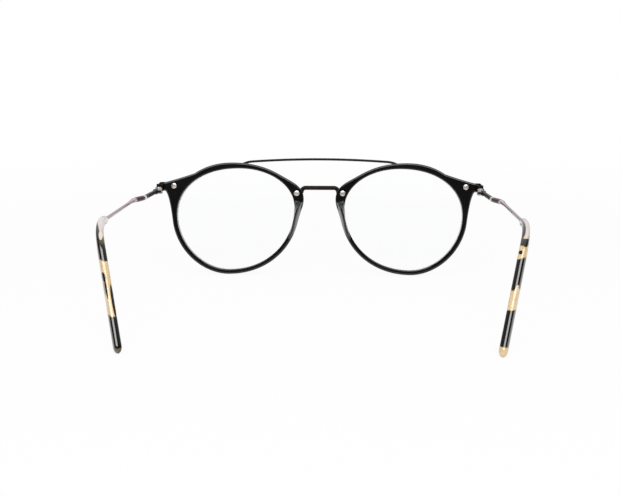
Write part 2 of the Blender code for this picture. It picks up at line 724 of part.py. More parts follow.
def build_arm(side, name):
    """Collar, long thin arm, and the core that runs on inside the tip."""
    wide, tall = COLLAR_HALF
    wire = ARM_WIRE_R
    stations = []
    for share, size in ((0, 0.72), (0.05, 0.9), (0.15, 1.0), (0.38, 1.0), (0.55, 0.84),
                        (0.78, 0.66), (1.0, 0.0)):
        length = COLLAR_START + COLLAR_LENGTH * share
        width = wide * size if share < 0.6 else max(wire, wide * size)
        stations.append((length, width, max(wire, tall * size)))
    start = COLLAR_START + COLLAR_LENGTH
    end = TIP_START + CORE_LENGTH
    steps = 30
    stations += [(mix(start, end, i / steps), wire, wire) for i in range(1, steps + 1)]
    arm = temple_loft(stations, 12, 2.0, name, side)
    socket = [(length, TENON_R + FIT, TENON_R + FIT) for length in
              (COLLAR_START - 1, COLLAR_START + TENON_LENGTH / 2,
               COLLAR_START + TENON_LENGTH + GAP)]
    return combine(arm, temple_loft(socket, 10, 2.0, "socket", side), "DIFFERENCE")


def build_tip(side, name):
    """Acetate tip: slim at the arm, fuller past the ear, round at its end."""
    wide, tall = TIP_HALF
    end = temple_length()
    bend_end = BEND_START + BEND_RADIUS * math.radians(BEND_ANGLE)
    stations = [(TIP_START, 0.85, 1.0), (TIP_START + 0.5, 1.0, 1.2)]
    for i in range(12):
        share = i / 11
        length = mix(TIP_START + 2, bend_end + 3, share)
        grow = ease(share * 1.6)
        stations.append((length, mix(1.15, wide, grow), mix(1.4, tall, grow)))
    stations.append((end - 4, wide, tall))
    for share in TIP_END_SHARES:
        size = end_size(share)
        stations.append((end - TIP_ROUND * (1 - share), wide * size, tall * size))
    tip = temple_loft(stations, 16, 3.0, name, side)
    steps = 14
    first, last = TIP_START - 1, TIP_START + CORE_LENGTH + GAP
    radius = ARM_WIRE_R + FIT
    bore = [(mix(first, last, i / steps), radius, radius) for i in range(steps + 1)]
    return combine(tip, temple_loft(bore, 12, 2.0, "bore", side), "DIFFERENCE")


# ---- Assembly ----------------------------------------------------------------------------
def empty(name, location, parent=None):
    obj = bpy.data.objects.new(name, None)
    obj.location = location
    obj.parent = parent
    bpy.context.scene.collection.objects.link(obj)
    return obj


def finish(obj, material, parent, pivot):
    """Give the piece its material, and its origin on the joint axis or the root."""
    obj.data.materials.clear()
    obj.data.materials.append(material)
    obj.data.transform(Matrix.Translation(-pivot))
    obj.data.shade_smooth()
    obj.data.set_sharp_from_angle(angle=math.radians(35))
    obj.parent = parent


def settle(root):
    """Stand the glasses on the ground and centre their depth on the origin."""
    bpy.context.view_layer.update()
    points = [obj.matrix_world @ vert.co for obj in bpy.data.objects
              if obj.type == "MESH" for vert in obj.data.vertices]
    depths = [p.y for p in points]
    root.location = (0, -(min(depths) + max(depths)) / 2, -min(p.z for p in points))
    bpy.context.view_layer.update()


def main():
    for obj in list(bpy.data.objects):
        bpy.data.objects.remove(obj)
    paint = {name: make_material(name) for name in MATERIALS}
    root = empty("eyeglasses", (0, 0, 0))
    origin = Vector((0, 0, 0))
    finish(build_bridge("nose_bridge"), paint["black_metal"], root, origin)
    finish(build_brow_bar("brow_bar"), paint["black_metal"], root, origin)
    for side, word in ((1, "left"), (-1, "right")):
        fixed = (
            (build_rim(side, f"{word}_rim"), "black_acetate"),
            (build_lens(side, f"{word}_lens"), "clear_lens"),
            (build_pad(side, f"{word}_nose_pad"), "black_acetate"),
            (build_endpiece(side, f"{word}_endpiece"), "black_metal"),
            (build_front_screw(BRIDGE_SCREW, side, f"{word}_bridge_screw"), "bright_steel"),
            (build_front_screw(ENDPIECE_SCREW, side, f"{word}_endpiece_screw"), "bright_steel"),
            (build_hinge_screw(side, f"{word}_hinge_screw"), "bright_steel"),
        )
        for obj, material in fixed:
            finish(obj, paint[material], root, origin)
        pivot = world(side * HINGE_X, HINGE_Y, HINGE_Z)
        temple = empty(f"{word}_temple_axis", pivot, root)
        moving = (
            (build_hinge_bar(side, f"{word}_hinge_bar"), "black_metal"),
            (build_arm(side, f"{word}_temple_arm"), "rose_gunmetal"),
            (build_tip(side, f"{word}_temple_tip"), "tortoise_acetate"),
        )
        for obj, material in moving:
            finish(obj, paint[material], temple, pivot)
    settle(root)


main()
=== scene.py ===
"""Double-bridge acetate eyeglasses, dressed for a studio picture.

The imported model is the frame.  Every visible piece is drawn again here, finer and smooth,
in the same place: acetate rims, lenses and saddle pads, lacquered metal fittings, polished
temples and tortoise tips.  Sizes are in millimetres; the pieces are in metres.
Left is the wearer's left, at +X.  The wearer's side is +Y.
"""

import json
import math

import bmesh
import bpy
from mathutils import Matrix, Vector


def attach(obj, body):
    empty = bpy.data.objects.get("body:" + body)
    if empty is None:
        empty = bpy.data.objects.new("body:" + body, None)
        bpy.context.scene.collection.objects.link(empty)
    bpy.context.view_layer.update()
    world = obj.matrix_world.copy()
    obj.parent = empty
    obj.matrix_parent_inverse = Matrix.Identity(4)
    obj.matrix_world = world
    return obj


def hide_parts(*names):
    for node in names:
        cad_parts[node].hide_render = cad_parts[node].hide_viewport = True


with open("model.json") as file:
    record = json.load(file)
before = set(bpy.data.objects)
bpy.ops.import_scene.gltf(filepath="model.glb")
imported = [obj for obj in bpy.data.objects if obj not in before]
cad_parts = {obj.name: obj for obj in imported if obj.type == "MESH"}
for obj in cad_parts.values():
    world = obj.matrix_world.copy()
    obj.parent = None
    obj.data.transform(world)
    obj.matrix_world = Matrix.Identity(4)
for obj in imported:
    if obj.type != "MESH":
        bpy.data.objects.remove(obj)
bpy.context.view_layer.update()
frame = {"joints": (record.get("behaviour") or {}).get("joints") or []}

bl_info = {
    "name": "Double-bridge eyeglasses",
    "version": (1, 0, 0),
    "blender": (4, 5, 0),
    "location": "View3D > Sidebar > Eyeglasses",
    "description": "Builds double-bridge acetate eyeglasses with folding metal temples",
    "category": "Add Mesh",
}

MM = 0.001

# ---- Sizes shared by the pieces, in millimetres -------------------------------------------
LENS_WIDTH = 49.0
LENS_HEIGHT = 42.5
LENS_SPAN = 21.3
TOP_SHIFT = -1.5
BOTTOM_SHIFT = 3.1
TEMPLE_RISE = 1.4
NOSE_RISE = 5.2
LENS_THICKNESS = 1.3
LENS_BULGE = 2.2

RIM_THICKNESS = 3.6
RIM_BAND = 2.0
RIM_BROW_EXTRA = 0.85
NOSE_LUG = 2.6
OUTER_ROUND = 0.7
INNER_ROUND = 0.45
GROOVE_DEPTH = 0.7
GROOVE_HALF = 0.75
LUG_FROM, LUG_TO = -4.0, 50.0

LUG_PROUD = 5.7
LUG_TOP_DROP = 5.85
LUG_BOTTOM_DROP = 9.55
LUG_CORNER = 0.9

FRONT_LEAN = 8.0
WRAP_RADIUS = 400.0

SCREW_HEAD_R = 1.2
SCREW_HEAD_H = 0.65
SCREW_RECESS = 0.8
SCREW_SHANK_R = 0.6
SCREW_SLOT_HALF = 0.75
SCREW_SLOT_DEPTH = 0.3
HEAD_EDGE = 0.16
PLATE_THICKNESS = 1.2
ENDPIECE_SCREW_AT = (1.3, 7.4)
BRIDGE_SCREW_AT = (0.95, 10.3)

BRIDGE_DROP = 8.0
BRIDGE_HALF_HEIGHT = 0.9
BRIDGE_HALF_DEPTH = 0.75
BRIDGE_CORNER = 1.8
BRIDGE_LEG_IN = 2.85
BRIDGE_PLATE_HALF = (2.3, 2.05)
BRIDGE_PLATE_EDGE = 0.4

BROW_RISE = 4.1
BROW_RADIUS = 390.0
BROW_SWEEP = 5.0
BROW_FOOT_IN = 1.6
BROW_FOOT_UP = 1.4
BROW_FOOT_R = 0.95
BROW_FOOT_THICKNESS = 0.9
BROW_FOOT_EDGE = 0.3

PAD_LENGTH = 16.5
PAD_BASE = 3.0
PAD_FOOT = 1.55
PAD_HEIGHT = 3.0
PAD_FLARE = 0.45
PAD_SPLAY = 1.0
PAD_TOP = (3.2, 7.2)            # from the nose side and the middle of the lens opening
PAD_BOTTOM_OUT = 1.2
PAD_CURL = 0.9
PAD_CURL_FROM = 0.7

KNUCKLE_R = 1.1
KNUCKLE_LEAF = 0.65
KNUCKLE_MIDDLE = 0.9
LEAF_ROOT = 0.6                 # how far a leaf runs into the metal that carries it
HINGE_SCREW_R = 0.45
HINGE_HEAD_R = 0.8
HINGE_HEAD_H = 0.4
ENDPIECE_PROUD = 2.45
BLOCK_DROP = 0.4
BLOCK_BACK = 3.6
SHIELD_IN = 2.4
SHIELD_HALF_HEIGHT = 1.75
SHIELD_CORNER = 1.2
SHIELD_EDGE = 0.3

HINGE_BAR_LENGTH = 19.3
HINGE_BAR_HALF = (0.7, 0.8)
HINGE_BAR_ROOT = 0.95           # half width where the bar leaves its knuckle
HINGE_BAR_OUT = 0.9
HINGE_BAR_SPREAD = 1.1
COLLAR_LENGTH = 21.0
ARM_WIRE_R = 0.6
TEMPLE_BOW = 3.94
TEMPLE_DROP_SLOPE = -0.021
BOW_SWEEP = 12.0
INSET_LEAD = -0.5
INSET_CORNER = 11.6

TIP_START = 79.0
BEND_START = 83.1
BEND_RADIUS = 14.7
BEND_ANGLE = 62.3
TIP_INSET = 10.0
TIP_HALF = (1.35, 1.75)
TIP_ROUND = 2.2
TIP_SLIM = 0.97                 # share of the full section, which keeps the tip in the outline
TIP_LIFT = 0.06

GAP = 0.3
RUNNING = 0.07
FIT = 0.1
SUNK = 0.03                     # how far a seated piece reaches into what it sits on

SIDES = ((1, "left"), (-1, "right"))
HINGE_BEHIND = 6.22
HINGE_DROP = 1.05

# ---- Placing ------------------------------------------------------------------------------
HALF_W = LENS_WIDTH / 2
HALF_H = LENS_HEIGHT / 2
LENS_X = (LENS_WIDTH + LENS_SPAN) / 2
LENS_V = HALF_H + RIM_BAND
BACK = RIM_THICKNESS / 2
LEAN = math.radians(FRONT_LEAN)
TOP_V = LENS_V + HALF_H
LUG_REACH = HALF_W + LUG_PROUD
LUG_TOP = HALF_H - LUG_TOP_DROP
LUG_BOTTOM = HALF_H - LUG_BOTTOM_DROP
LUG_X, LUG_V = LENS_X + LUG_REACH, LENS_V + (LUG_TOP + LUG_BOTTOM) / 2
ENDPIECE_SCREW = (LENS_X + HALF_W + ENDPIECE_SCREW_AT[0], TOP_V - ENDPIECE_SCREW_AT[1])
BRIDGE_SCREW = (LENS_X - HALF_W - BRIDGE_SCREW_AT[0], TOP_V - BRIDGE_SCREW_AT[1])
BROW_FOOT = (LENS_X - BROW_FOOT_IN, TOP_V + BROW_FOOT_UP)
ENDPIECE_OUTER = LUG_X + ENDPIECE_PROUD
LEAF_TOP = KNUCKLE_MIDDLE / 2 + RUNNING + KNUCKLE_LEAF

# The hinge axes come from the frame; the middle of a hinge screw stands above its hinge.
JOINT = next(j for j in frame["joints"] if j["name"] == "left_temple_fold")
HINGE_X = JOINT["pos_m"][0] / MM
HINGE_Y = JOINT["pos_m"][1] / MM
HINGE_Z = JOINT["pos_m"][2] / MM - (0.05 + FIT + HINGE_HEAD_H) / 2


def leaned(x, d, v):
    """A point of the flat front drawing, bent and leaned."""
    depth = d + x * x / (2 * WRAP_RADIUS)
    return Vector((x, depth * math.cos(LEAN) - v * math.sin(LEAN),
                   v * math.cos(LEAN) + depth * math.sin(LEAN)))


SET_DOWN = Vector((0, HINGE_Y - HINGE_BEHIND, HINGE_Z + HINGE_DROP)) - leaned(LUG_X, BACK, LUG_V)
SET_DOWN.x = 0


def front(x, d, v):
    """Place a point of the flat front drawing: across, through towards the wearer, up."""
    return leaned(x, d, v) + SET_DOWN


def plan(a, z, b):
    """Place a point of a drawing seen from above."""
    return Vector((a, b, z))


def lens_point(outboard, up):
    return LENS_X + outboard, LENS_V + up


# ---- Mesh tools ---------------------------------------------------------------------------
def add_mesh(name, verts, faces, side=1, sharp=40):
    """A closed, smooth-shaded mesh in millimetres; side -1 mirrors it to the right."""
    mesh = bpy.data.meshes.new(name)
    mesh.from_pydata([(side * p[0], p[1], p[2]) for p in verts], [], faces)
    bm = bmesh.new()
    bm.from_mesh(mesh)
    bmesh.ops.recalc_face_normals(bm, faces=bm.faces)
    bm.to_mesh(mesh)
    bm.free()
    obj = bpy.data.objects.new(name, mesh)
    bpy.context.scene.collection.objects.link(obj)
    return soften(obj, sharp)


def soften(obj, sharp=40):
    obj.data.shade_smooth()
    obj.data.set_sharp_from_angle(angle=math.radians(sharp))
    return obj


def loft(rings, closed=False):
    """Faces between rings of equal length; ends are capped unless the loft is closed."""
    count = len(rings[0])
    verts = [p for ring in rings for p in ring]
    faces = []
    last = len(rings) if closed else len(rings) - 1
    for i in range(last):
        a, b = i * count, ((i + 1) % len(rings)) * count
        for j in range(count):
            k = (j + 1) % count
            faces.append((a + j, a + k, b + k, b + j))
    if not closed:
        faces.append(tuple(reversed(range(count))))
        faces.append(tuple(range(a + count, a + 2 * count)))
    return verts, faces


def bake(obj):
    """Turn an object's modifiers into its plain mesh."""
    bpy.context.view_layer.update()
    graph = bpy.context.evaluated_depsgraph_get()
    mesh = bpy.data.meshes.new_from_object(obj.evaluated_get(graph))
    obj.modifiers.clear()
    old = obj.data
    obj.data = mesh
    bpy.data.meshes.remove(old)
    return obj


def combine(target, tool, operation="UNION", sharp=35):
    """Join or cut with an exact boolean, and drop the tool."""
    modifier = target.modifiers.new(operation, "BOOLEAN")
    modifier.operation = operation
    modifier.solver = "EXACT"
    modifier.object = tool
    bake(target)
    bpy.data.objects.remove(tool)
    return soften(target, sharp)


def bevel(obj, width, segments=3):
    """Round every crisp edge."""
    modifier = obj.modifiers.new("edge", "BEVEL")
    modifier.width = width
    modifier.segments = segments
    modifier.limit_method = "ANGLE"
    modifier.angle_limit = math.radians(30)
    return soften(bake(obj), 50)


def prism(outline, low, high, place=front, side=1, name="tool", edge=0.0):
    """Extrude a flat outline between two depths, with its crisp edges rounded."""
    rings = [[place(a, depth, b) for a, b in outline] for depth in (low, high)]
    solid = add_mesh(name, *loft(rings), side=side)
    return bevel(solid, edge) if edge else solid


def circle(centre, radius, count=48):
    turns = [2 * math.pi * i / count for i in range(count)]
    return [(centre[0] + radius * math.cos(t), centre[1] + radius * math.sin(t)) for t in turns]


def rounded_box(centre, half, radius, steps=10):
    points = []
    for quarter, (sx, sy) in enumerate(((1, 1), (-1, 1), (-1, -1), (1, -1))):
        cx = centre[0] + sx * (half[0] - radius)
        cy = centre[1] + sy * (half[1] - radius)
        for i in range(steps + 1):
            t = math.radians(90 * (quarter + i / steps))
            points.append((cx + radius * math.cos(t), cy + radius * math.sin(t)))
    return points


def section(centre, across, up, half_width, half_height, count, power):
    """A superellipse section square to a path."""
    ring = []
    for i in range(count):
        t = 2 * math.pi * (i + 0.5) / count
        c, s = math.cos(t), math.sin(t)
        a = half_width * math.copysign(abs(c) ** (2 / power), c)
        b = half_height * math.copysign(abs(s) ** (2 / power), s)
        ring.append(centre + across * a + up * b)
    return ring


def ease(t):
    t = min(1.0, max(0.0, t))
    return t * t * (3 - 2 * t)


def mix(a, b, t):
    return a + (b - a) * t


def curve_through(knots, t):
    """A value between knots (position, value, ...), with a smooth slope through each."""
    last = len(knots) - 1
    i = next((k for k in range(last) if t <= knots[k + 1][0]), last - 1)
    a, b = knots[i], knots[i + 1]
    before, after = knots[max(i - 1, 0)], knots[min(i + 2, last)]
    u = min(1.0, max(0.0, (t - a[0]) / (b[0] - a[0])))
    values = []
    for j in range(1, len(a)):
        run = b[0] - a[0]
        start = (b[j] - before[j]) / max(b[0] - before[0], 1e-6) * run
        end = (after[j] - a[j]) / max(after[0] - a[0], 1e-6) * run
        values.append((2 * u ** 3 - 3 * u ** 2 + 1) * a[j] + (u ** 3 - 2 * u ** 2 + u) * start
                      + (3 * u ** 2 - 2 * u ** 3) * b[j] + (u ** 3 - u ** 2) * end)
    return values


def dress(obj, material, body, nodes):
    """Scale a finished piece to metres and hand it to the frame."""
    obj.data.transform(Matrix.Scale(MM, 4))
    obj.data.materials.clear()
    obj.data.materials.append(material)
    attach(obj, body)
    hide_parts(*nodes)
    return obj


# ---- Outline of the rim -------------------------------------------------------------------
QUADRANTS = (               # centre, half width, half height, roundness
    ((TOP_SHIFT, TEMPLE_RISE), HALF_W - TOP_SHIFT, HALF_H - TEMPLE_RISE, 2.18),
    ((TOP_SHIFT, NOSE_RISE), HALF_W + TOP_SHIFT, HALF_H - NOSE_RISE, 2.0),
    ((BOTTOM_SHIFT, NOSE_RISE), HALF_W + BOTTOM_SHIFT, HALF_H + NOSE_RISE, 2.09),
    ((BOTTOM_SHIFT, TEMPLE_RISE), HALF_W - BOTTOM_SHIFT, HALF_H + TEMPLE_RISE, 1.9),
)


def opening_point(angle, offset=0.0):
    """A point of the lens opening, pushed outwards by offset along its normal."""
    angle = angle % 360
    centre, wide, high, power = QUADRANTS[int(angle // 90)]
    t = math.radians(angle)
    c, s = math.cos(t), math.sin(t)
    u = wide * math.copysign(abs(c) ** (2 / power), c)
    w = high * math.copysign(abs(s) ** (2 / power), s)
    nu = math.copysign(abs(u / wide) ** (power - 1), c) / wide
    nw = math.copysign(abs(w / high) ** (power - 1), s) / high
    length = math.hypot(nu, nw)
    return centre[0] + u + offset * nu / length, centre[1] + w + offset * nw / length


def band_width(angle):
    u, w = opening_point(angle)
    turn = math.degrees(math.atan2(w, u)) % 360
    brow = RIM_BROW_EXTRA * math.exp(-((turn - 65) / 35) ** 2)
    return RIM_BAND + brow + NOSE_LUG * math.exp(-((turn - 158) / 13) ** 2)


def bezier(a, b, c, t):
    s = 1 - t
    return tuple(s * s * a[i] + 2 * s * t * b[i] + t * t * c[i] for i in range(2))


def lug_outline(sweep=27, corner=9):
    """Endpiece lug: lower sweep, two round corners and upper sweep."""
    start = opening_point(LUG_FROM, band_width(LUG_FROM))
    finish = opening_point(LUG_TO, band_width(LUG_TO))
    low_end = (LUG_REACH - LUG_CORNER, LUG_BOTTOM)
    high_end = (LUG_REACH - LUG_CORNER, LUG_TOP)
    low_control = (start[0] + 1.2, LUG_BOTTOM - 2.0)
    slope = (finish[1] - high_end[1]) / (finish[0] - high_end[0])
    high_control = (mix(finish[0], high_end[0], 0.5), finish[1] - 0.56 * slope
                    * (finish[0] - high_end[0]))
    points = [bezier(start, low_control, low_end, i / sweep) for i in range(sweep)]
    for sign, height in ((-1, LUG_BOTTOM + LUG_CORNER), (1, LUG_TOP - LUG_CORNER)):
        for i in range(corner + 1):
            t = math.radians(90 * i / corner - (90 if sign < 0 else 0))
            points.append((LUG_REACH - LUG_CORNER + LUG_CORNER * math.cos(t),
                           height + LUG_CORNER * math.sin(t)))
    return points + [bezier(high_end, high_control, finish, (i + 1) / sweep)
                     for i in range(sweep)]


def rim_stations(rest=230):
    """Matching angles of the opening and points of the outside, counter-clockwise."""
    outer = lug_outline()
    span = len(outer) - 1
    angles = [mix(LUG_FROM, LUG_TO, i / span) for i in range(span + 1)]
    for i in range(1, rest):
        angle = LUG_TO + (360 + LUG_FROM - LUG_TO) * i / rest
        angles.append(angle)
        outer.append(opening_point(angle, band_width(angle)))
    return angles, outer


def outward(points, i):
    a, b = points[i - 1], points[(i + 1) % len(points)]
    dx, dy = b[0] - a[0], b[1] - a[1]
    length = math.hypot(dx, dy)
    return dy / length, -dx / length


# ---- The temple's path --------------------------------------------------------------------
BAR_X = HINGE_X + HINGE_BAR_OUT
BAR_START = KNUCKLE_R + GAP
COLLAR_START = HINGE_BAR_LENGTH + GAP
SLOPE = math.atan(TEMPLE_DROP_SLOPE)
TURN = math.radians(BEND_ANGLE)


def arm_height(reach):
    return HINGE_Z - TEMPLE_DROP_SLOPE * reach


def end_size(share):
    return math.sqrt(max(0.0, 1 - share * share))


def temple_length():
    """Path length, behind the hinge axis, at which the tip's end meets the ground."""
    fall = BEND_RADIUS * (math.cos(SLOPE) - math.cos(TURN))
    below = max(TIP_HALF[1] * end_size(i / 40) * math.cos(TURN)
                - TIP_ROUND * (1 - i / 40) * math.sin(TURN) for i in range(41))
    left = arm_height(BEND_START) - fall - below - TIP_LIFT
    return BEND_START + BEND_RADIUS * (TURN - SLOPE) + left / math.sin(TURN)


TIP_END = temple_length()


def temple_point(length):
    """Centre of the temple, a given length behind the hinge axis."""
    if length <= BEND_START:
        reach, height = length, arm_height(length)
    else:
        arc = min((length - BEND_START) / BEND_RADIUS, TURN - SLOPE)
        angle = SLOPE + arc
        rest = length - BEND_START - arc * BEND_RADIUS
        reach = (BEND_START + BEND_RADIUS * (math.sin(angle) - math.sin(SLOPE))
                 + rest * math.cos(angle))
        height = (arm_height(BEND_START) - BEND_RADIUS * (math.cos(SLOPE) - math.cos(angle))
                  - rest * math.sin(angle))
    rise = HINGE_BAR_SPREAD * min(length, HINGE_BAR_LENGTH) / HINGE_BAR_LENGTH
    step = (TEMPLE_BOW - HINGE_BAR_SPREAD) * ease((length - HINGE_BAR_LENGTH) / BOW_SWEEP)
    start, corner = BEND_START - INSET_LEAD, INSET_CORNER
    run = max(0.0, length - start)
    rate = TIP_INSET / (TIP_END - start - corner / 2)
    inset = rate * (run * run / (2 * corner) if run < corner else run - corner / 2)
    return Vector((BAR_X + rise + step - inset, HINGE_Y + reach, height))


def temple_frame(length):
    """Position, outboard direction and upward direction square to the temple."""
    along = (temple_point(length + 0.5) - temple_point(length - 0.5)).normalized()
    up = (Vector((0, 0, 1)) - along * along.z).normalized()
    return temple_point(length), along.cross(up).normalized(), up


def temple_loft(stations, count, power, name, side, sharp=40):
    """Sweep sections (length, half width, half height) along the temple."""
    rings = []
    for length, wide, tall in stations:
        here, across, up = temple_frame(length)
        rings.append(section(here, across, up, wide, tall, count, power))
    return add_mesh(name, *loft(rings), side=side, sharp=sharp)


# ---- Node helpers -------------------------------------------------------------------------
def new_material(name):
    """A material with one Principled shader; returns it and its node tree."""
    material = bpy.data.materials.new(name)
    material.use_nodes = True
    return material, material.node_tree


def add_node(tree, kind, inputs=None, **settings):
    """Add a node, set its settings, then its inputs: a number, a colour or a socket."""
    node = tree.nodes.new(kind)
    for key, value in settings.items():
        setattr(node, key, value)
    for key, value in (inputs or {}).items():
        if isinstance(value, bpy.types.NodeSocket):
            tree.links.new(value, node.inputs[key])
        else:
            node.inputs[key].default_value = value
    return node


def set_ramp(node, stops, interpolation="LINEAR"):
    ramp = node.color_ramp
    ramp.interpolation = interpolation
    while len(ramp.elements) > 1:
        ramp.elements.remove(ramp.elements[0])
    for i, (position, colour) in enumerate(stops):
        element = ramp.elements[0] if i == 0 else ramp.elements.new(position)
        element.position = position
        if isinstance(colour, (int, float)):
            colour = (colour,) * 3
        element.color = (*colour, 1.0)


def group_sockets(tree, inputs, outputs):
    for name, kind, default in inputs:
        socket = tree.interface.new_socket(name, in_out="INPUT", socket_type=kind)
        if default is not None:
            socket.default_value = default
    for name, kind in outputs:
        tree.interface.new_socket(name, in_out="OUTPUT", socket_type=kind)
    return tree.nodes.new("NodeGroupInput"), tree.nodes.new("NodeGroupOutput")


def polish_group():
    """Hand polish: cloudy roughness and a faint waviness under it."""
    name = "hand_polish"
    if name in bpy.data.node_groups:
        return bpy.data.node_groups[name]
    tree = bpy.data.node_groups.new(name, "ShaderNodeTree")
    give, take = group_sockets(
        tree,
        (("Vector", "NodeSocketVector", None), ("Cloud Scale", "NodeSocketFloat", 180.0),
         ("Scratch Scale", "NodeSocketFloat", 2600.0), ("Smoothest", "NodeSocketFloat", 0.06),
         ("Roughest", "NodeSocketFloat", 0.16), ("Waviness", "NodeSocketFloat", 0.04)),
        (("Roughness", "NodeSocketFloat"), ("Normal", "NodeSocketVector")))
    clouds = add_node(tree, "ShaderNodeTexNoise",
                      {"Vector": give.outputs["Vector"], "Scale": give.outputs["Cloud Scale"],
                       "Detail": 4.0, "Roughness": 0.6})
    scratches = add_node(tree, "ShaderNodeTexNoise",
                         {"Vector": give.outputs["Vector"],
                          "Scale": give.outputs["Scratch Scale"], "Detail": 2.0,
                          "Distortion": 1.2})
    blend = add_node(tree, "ShaderNodeMath", {0: scratches.outputs[0], 1: 0.3,
                                              2: clouds.outputs[0]}, operation="MULTIPLY_ADD")
    rough = add_node(tree, "ShaderNodeMapRange",
                     {"Value": blend.outputs[0], "From Min": 0.45, "From Max": 0.85,
                      "To Min": give.outputs["Smoothest"], "To Max": give.outputs["Roughest"]})
    bump = add_node(tree, "ShaderNodeBump",
                    {"Strength": give.outputs["Waviness"], "Distance": 0.0002,
                     "Height": clouds.outputs[0]})
    tree.links.new(rough.outputs[0], take.inputs["Roughness"])
    tree.links.new(bump.outputs[0], take.inputs["Normal"])
    return tree


def place_polish(tree, vector, **values):
    node = add_node(tree, "ShaderNodeGroup", node_tree=polish_group())
    tree.links.new(vector, node.inputs["Vector"])
    for key, value in values.items():
        node.inputs[key.replace("_", " ")].default_value = value
    shader = tree.nodes["Principled BSDF"]
    tree.links.new(node.outputs["Roughness"], shader.inputs["Roughness"])
    tree.links.new(node.outputs["Normal"], shader.inputs["Normal"])
    return shader


def object_vector(tree):
    return add_node(tree, "ShaderNodeTexCoord").outputs["Object"]


def black_acetate(settings):
    """Polished black sheet acetate, with a faint warm depth in its body."""
    material, tree = new_material("black_acetate_polished")
    vector = object_vector(tree)
    shader = place_polish(tree, vector, Cloud_Scale=140.0, Smoothest=0.05, Roughest=0.13,
                          Waviness=0.03)
    depth = add_node(tree, "ShaderNodeTexNoise", {"Vector": vector, "Scale": 60.0,
                                                  "Detail": 3.0})
    colour = add_node(tree, "ShaderNodeValToRGB", {"Fac": depth.outputs[0]})
    base = settings.acetate_colour
    set_ramp(colour, ((0.3, [c * 0.7 for c in base]), (0.7, [c * 1.3 for c in base])))
    tree.links.new(colour.outputs[0], shader.inputs["Base Color"])
    shader.inputs["IOR"].default_value = 1.47
    shader.inputs["Coat Weight"].default_value = 0.5
    shader.inputs["Coat Roughness"].default_value = 0.03
    return material


def clear_lens(settings):
    """Clear coated lens that lets the lamps' light through."""
    material, tree = new_material("clear_demo_lens")
    vector = object_vector(tree)
    shader = tree.nodes["Principled BSDF"]
    haze = add_node(tree, "ShaderNodeTexNoise", {"Vector": vector, "Scale": 90.0, "Detail": 2.0})
    rough = add_node(tree, "ShaderNodeMapRange",
                     {"Value": haze.outputs[0], "To Min": 0.0, "To Max": 0.012})
    tree.links.new(rough.outputs[0], shader.inputs["Roughness"])
    shader.inputs["Base Color"].default_value = (*settings.lens_tint, 1)
    shader.inputs["Transmission Weight"].default_value = 1.0
    shader.inputs["IOR"].default_value = 1.2
    path = add_node(tree, "ShaderNodeLightPath")
    passing = add_node(tree, "ShaderNodeMath", {0: path.outputs["Is Shadow Ray"],
                                                1: path.outputs["Is Diffuse Ray"]},
                       operation="MAXIMUM")
    clear = add_node(tree, "ShaderNodeBsdfTransparent")
    share = add_node(tree, "ShaderNodeMixShader", {0: passing.outputs[0], 1: shader.outputs[0],
                                                   2: clear.outputs[0]})
    tree.links.new(share.outputs[0], tree.nodes["Material Output"].inputs["Surface"])
    return material


def hinge_mask(tree, vector, inner, outer):
    """1 near either hinge axis, falling to 0 between two radii in metres."""
    parts = add_node(tree, "ShaderNodeSeparateXYZ", {0: vector})
    across = add_node(tree, "ShaderNodeMath", {0: parts.outputs[0]}, operation="ABSOLUTE")
    flat = add_node(tree, "ShaderNodeCombineXYZ", {0: across.outputs[0], 1: parts.outputs[1]})
    gap = add_node(tree, "ShaderNodeVectorMath",
                   {0: flat.outputs[0], 1: (HINGE_X * MM, HINGE_Y * MM, 0)},
                   operation="DISTANCE")
    return add_node(tree, "ShaderNodeMapRange",
                    {"Value": gap.outputs["Value"], "From Min": inner, "From Max": outer,
                     "To Min": 1.0, "To Max": 0.0}).outputs[0]


def black_metal(settings):
    """Black-brown lacquered metal, rubbed back to bare steel at the hinge knuckles."""
    material, tree = new_material("black_lacquered_metal")
    vector = object_vector(tree)
    shader = place_polish(tree, vector, Cloud_Scale=320.0, Smoothest=0.28, Roughest=0.38,
                          Waviness=0.0)
    worn = add_node(tree, "ShaderNodeTexNoise", {"Vector": vector, "Scale": 900.0,
                                                 "Detail": 3.0})
    mask = hinge_mask(tree, vector, 0.0015, 0.0022)
    edge = add_node(tree, "ShaderNodeMath", {0: worn.outputs[0], 1: 0.5, 2: mask},
                    operation="MULTIPLY_ADD")
    bare = add_node(tree, "ShaderNodeMapRange", {"Value": edge.outputs[0], "From Min": 0.7,
                                                 "From Max": 0.85})
    colour = add_node(tree, "ShaderNodeMix", {"Factor": bare.outputs[0]}, data_type="RGBA")
    colour.inputs["A"].default_value = (*settings.lacquer_colour, 1)
    colour.inputs["B"].default_value = (*settings.steel_colour, 1)
    tree.links.new(colour.outputs["Result"], shader.inputs["Base Color"])
    tree.links.new(bare.outputs[0], shader.inputs["Metallic"])
    shader.inputs["Specular IOR Level"].default_value = 0.15
    return material


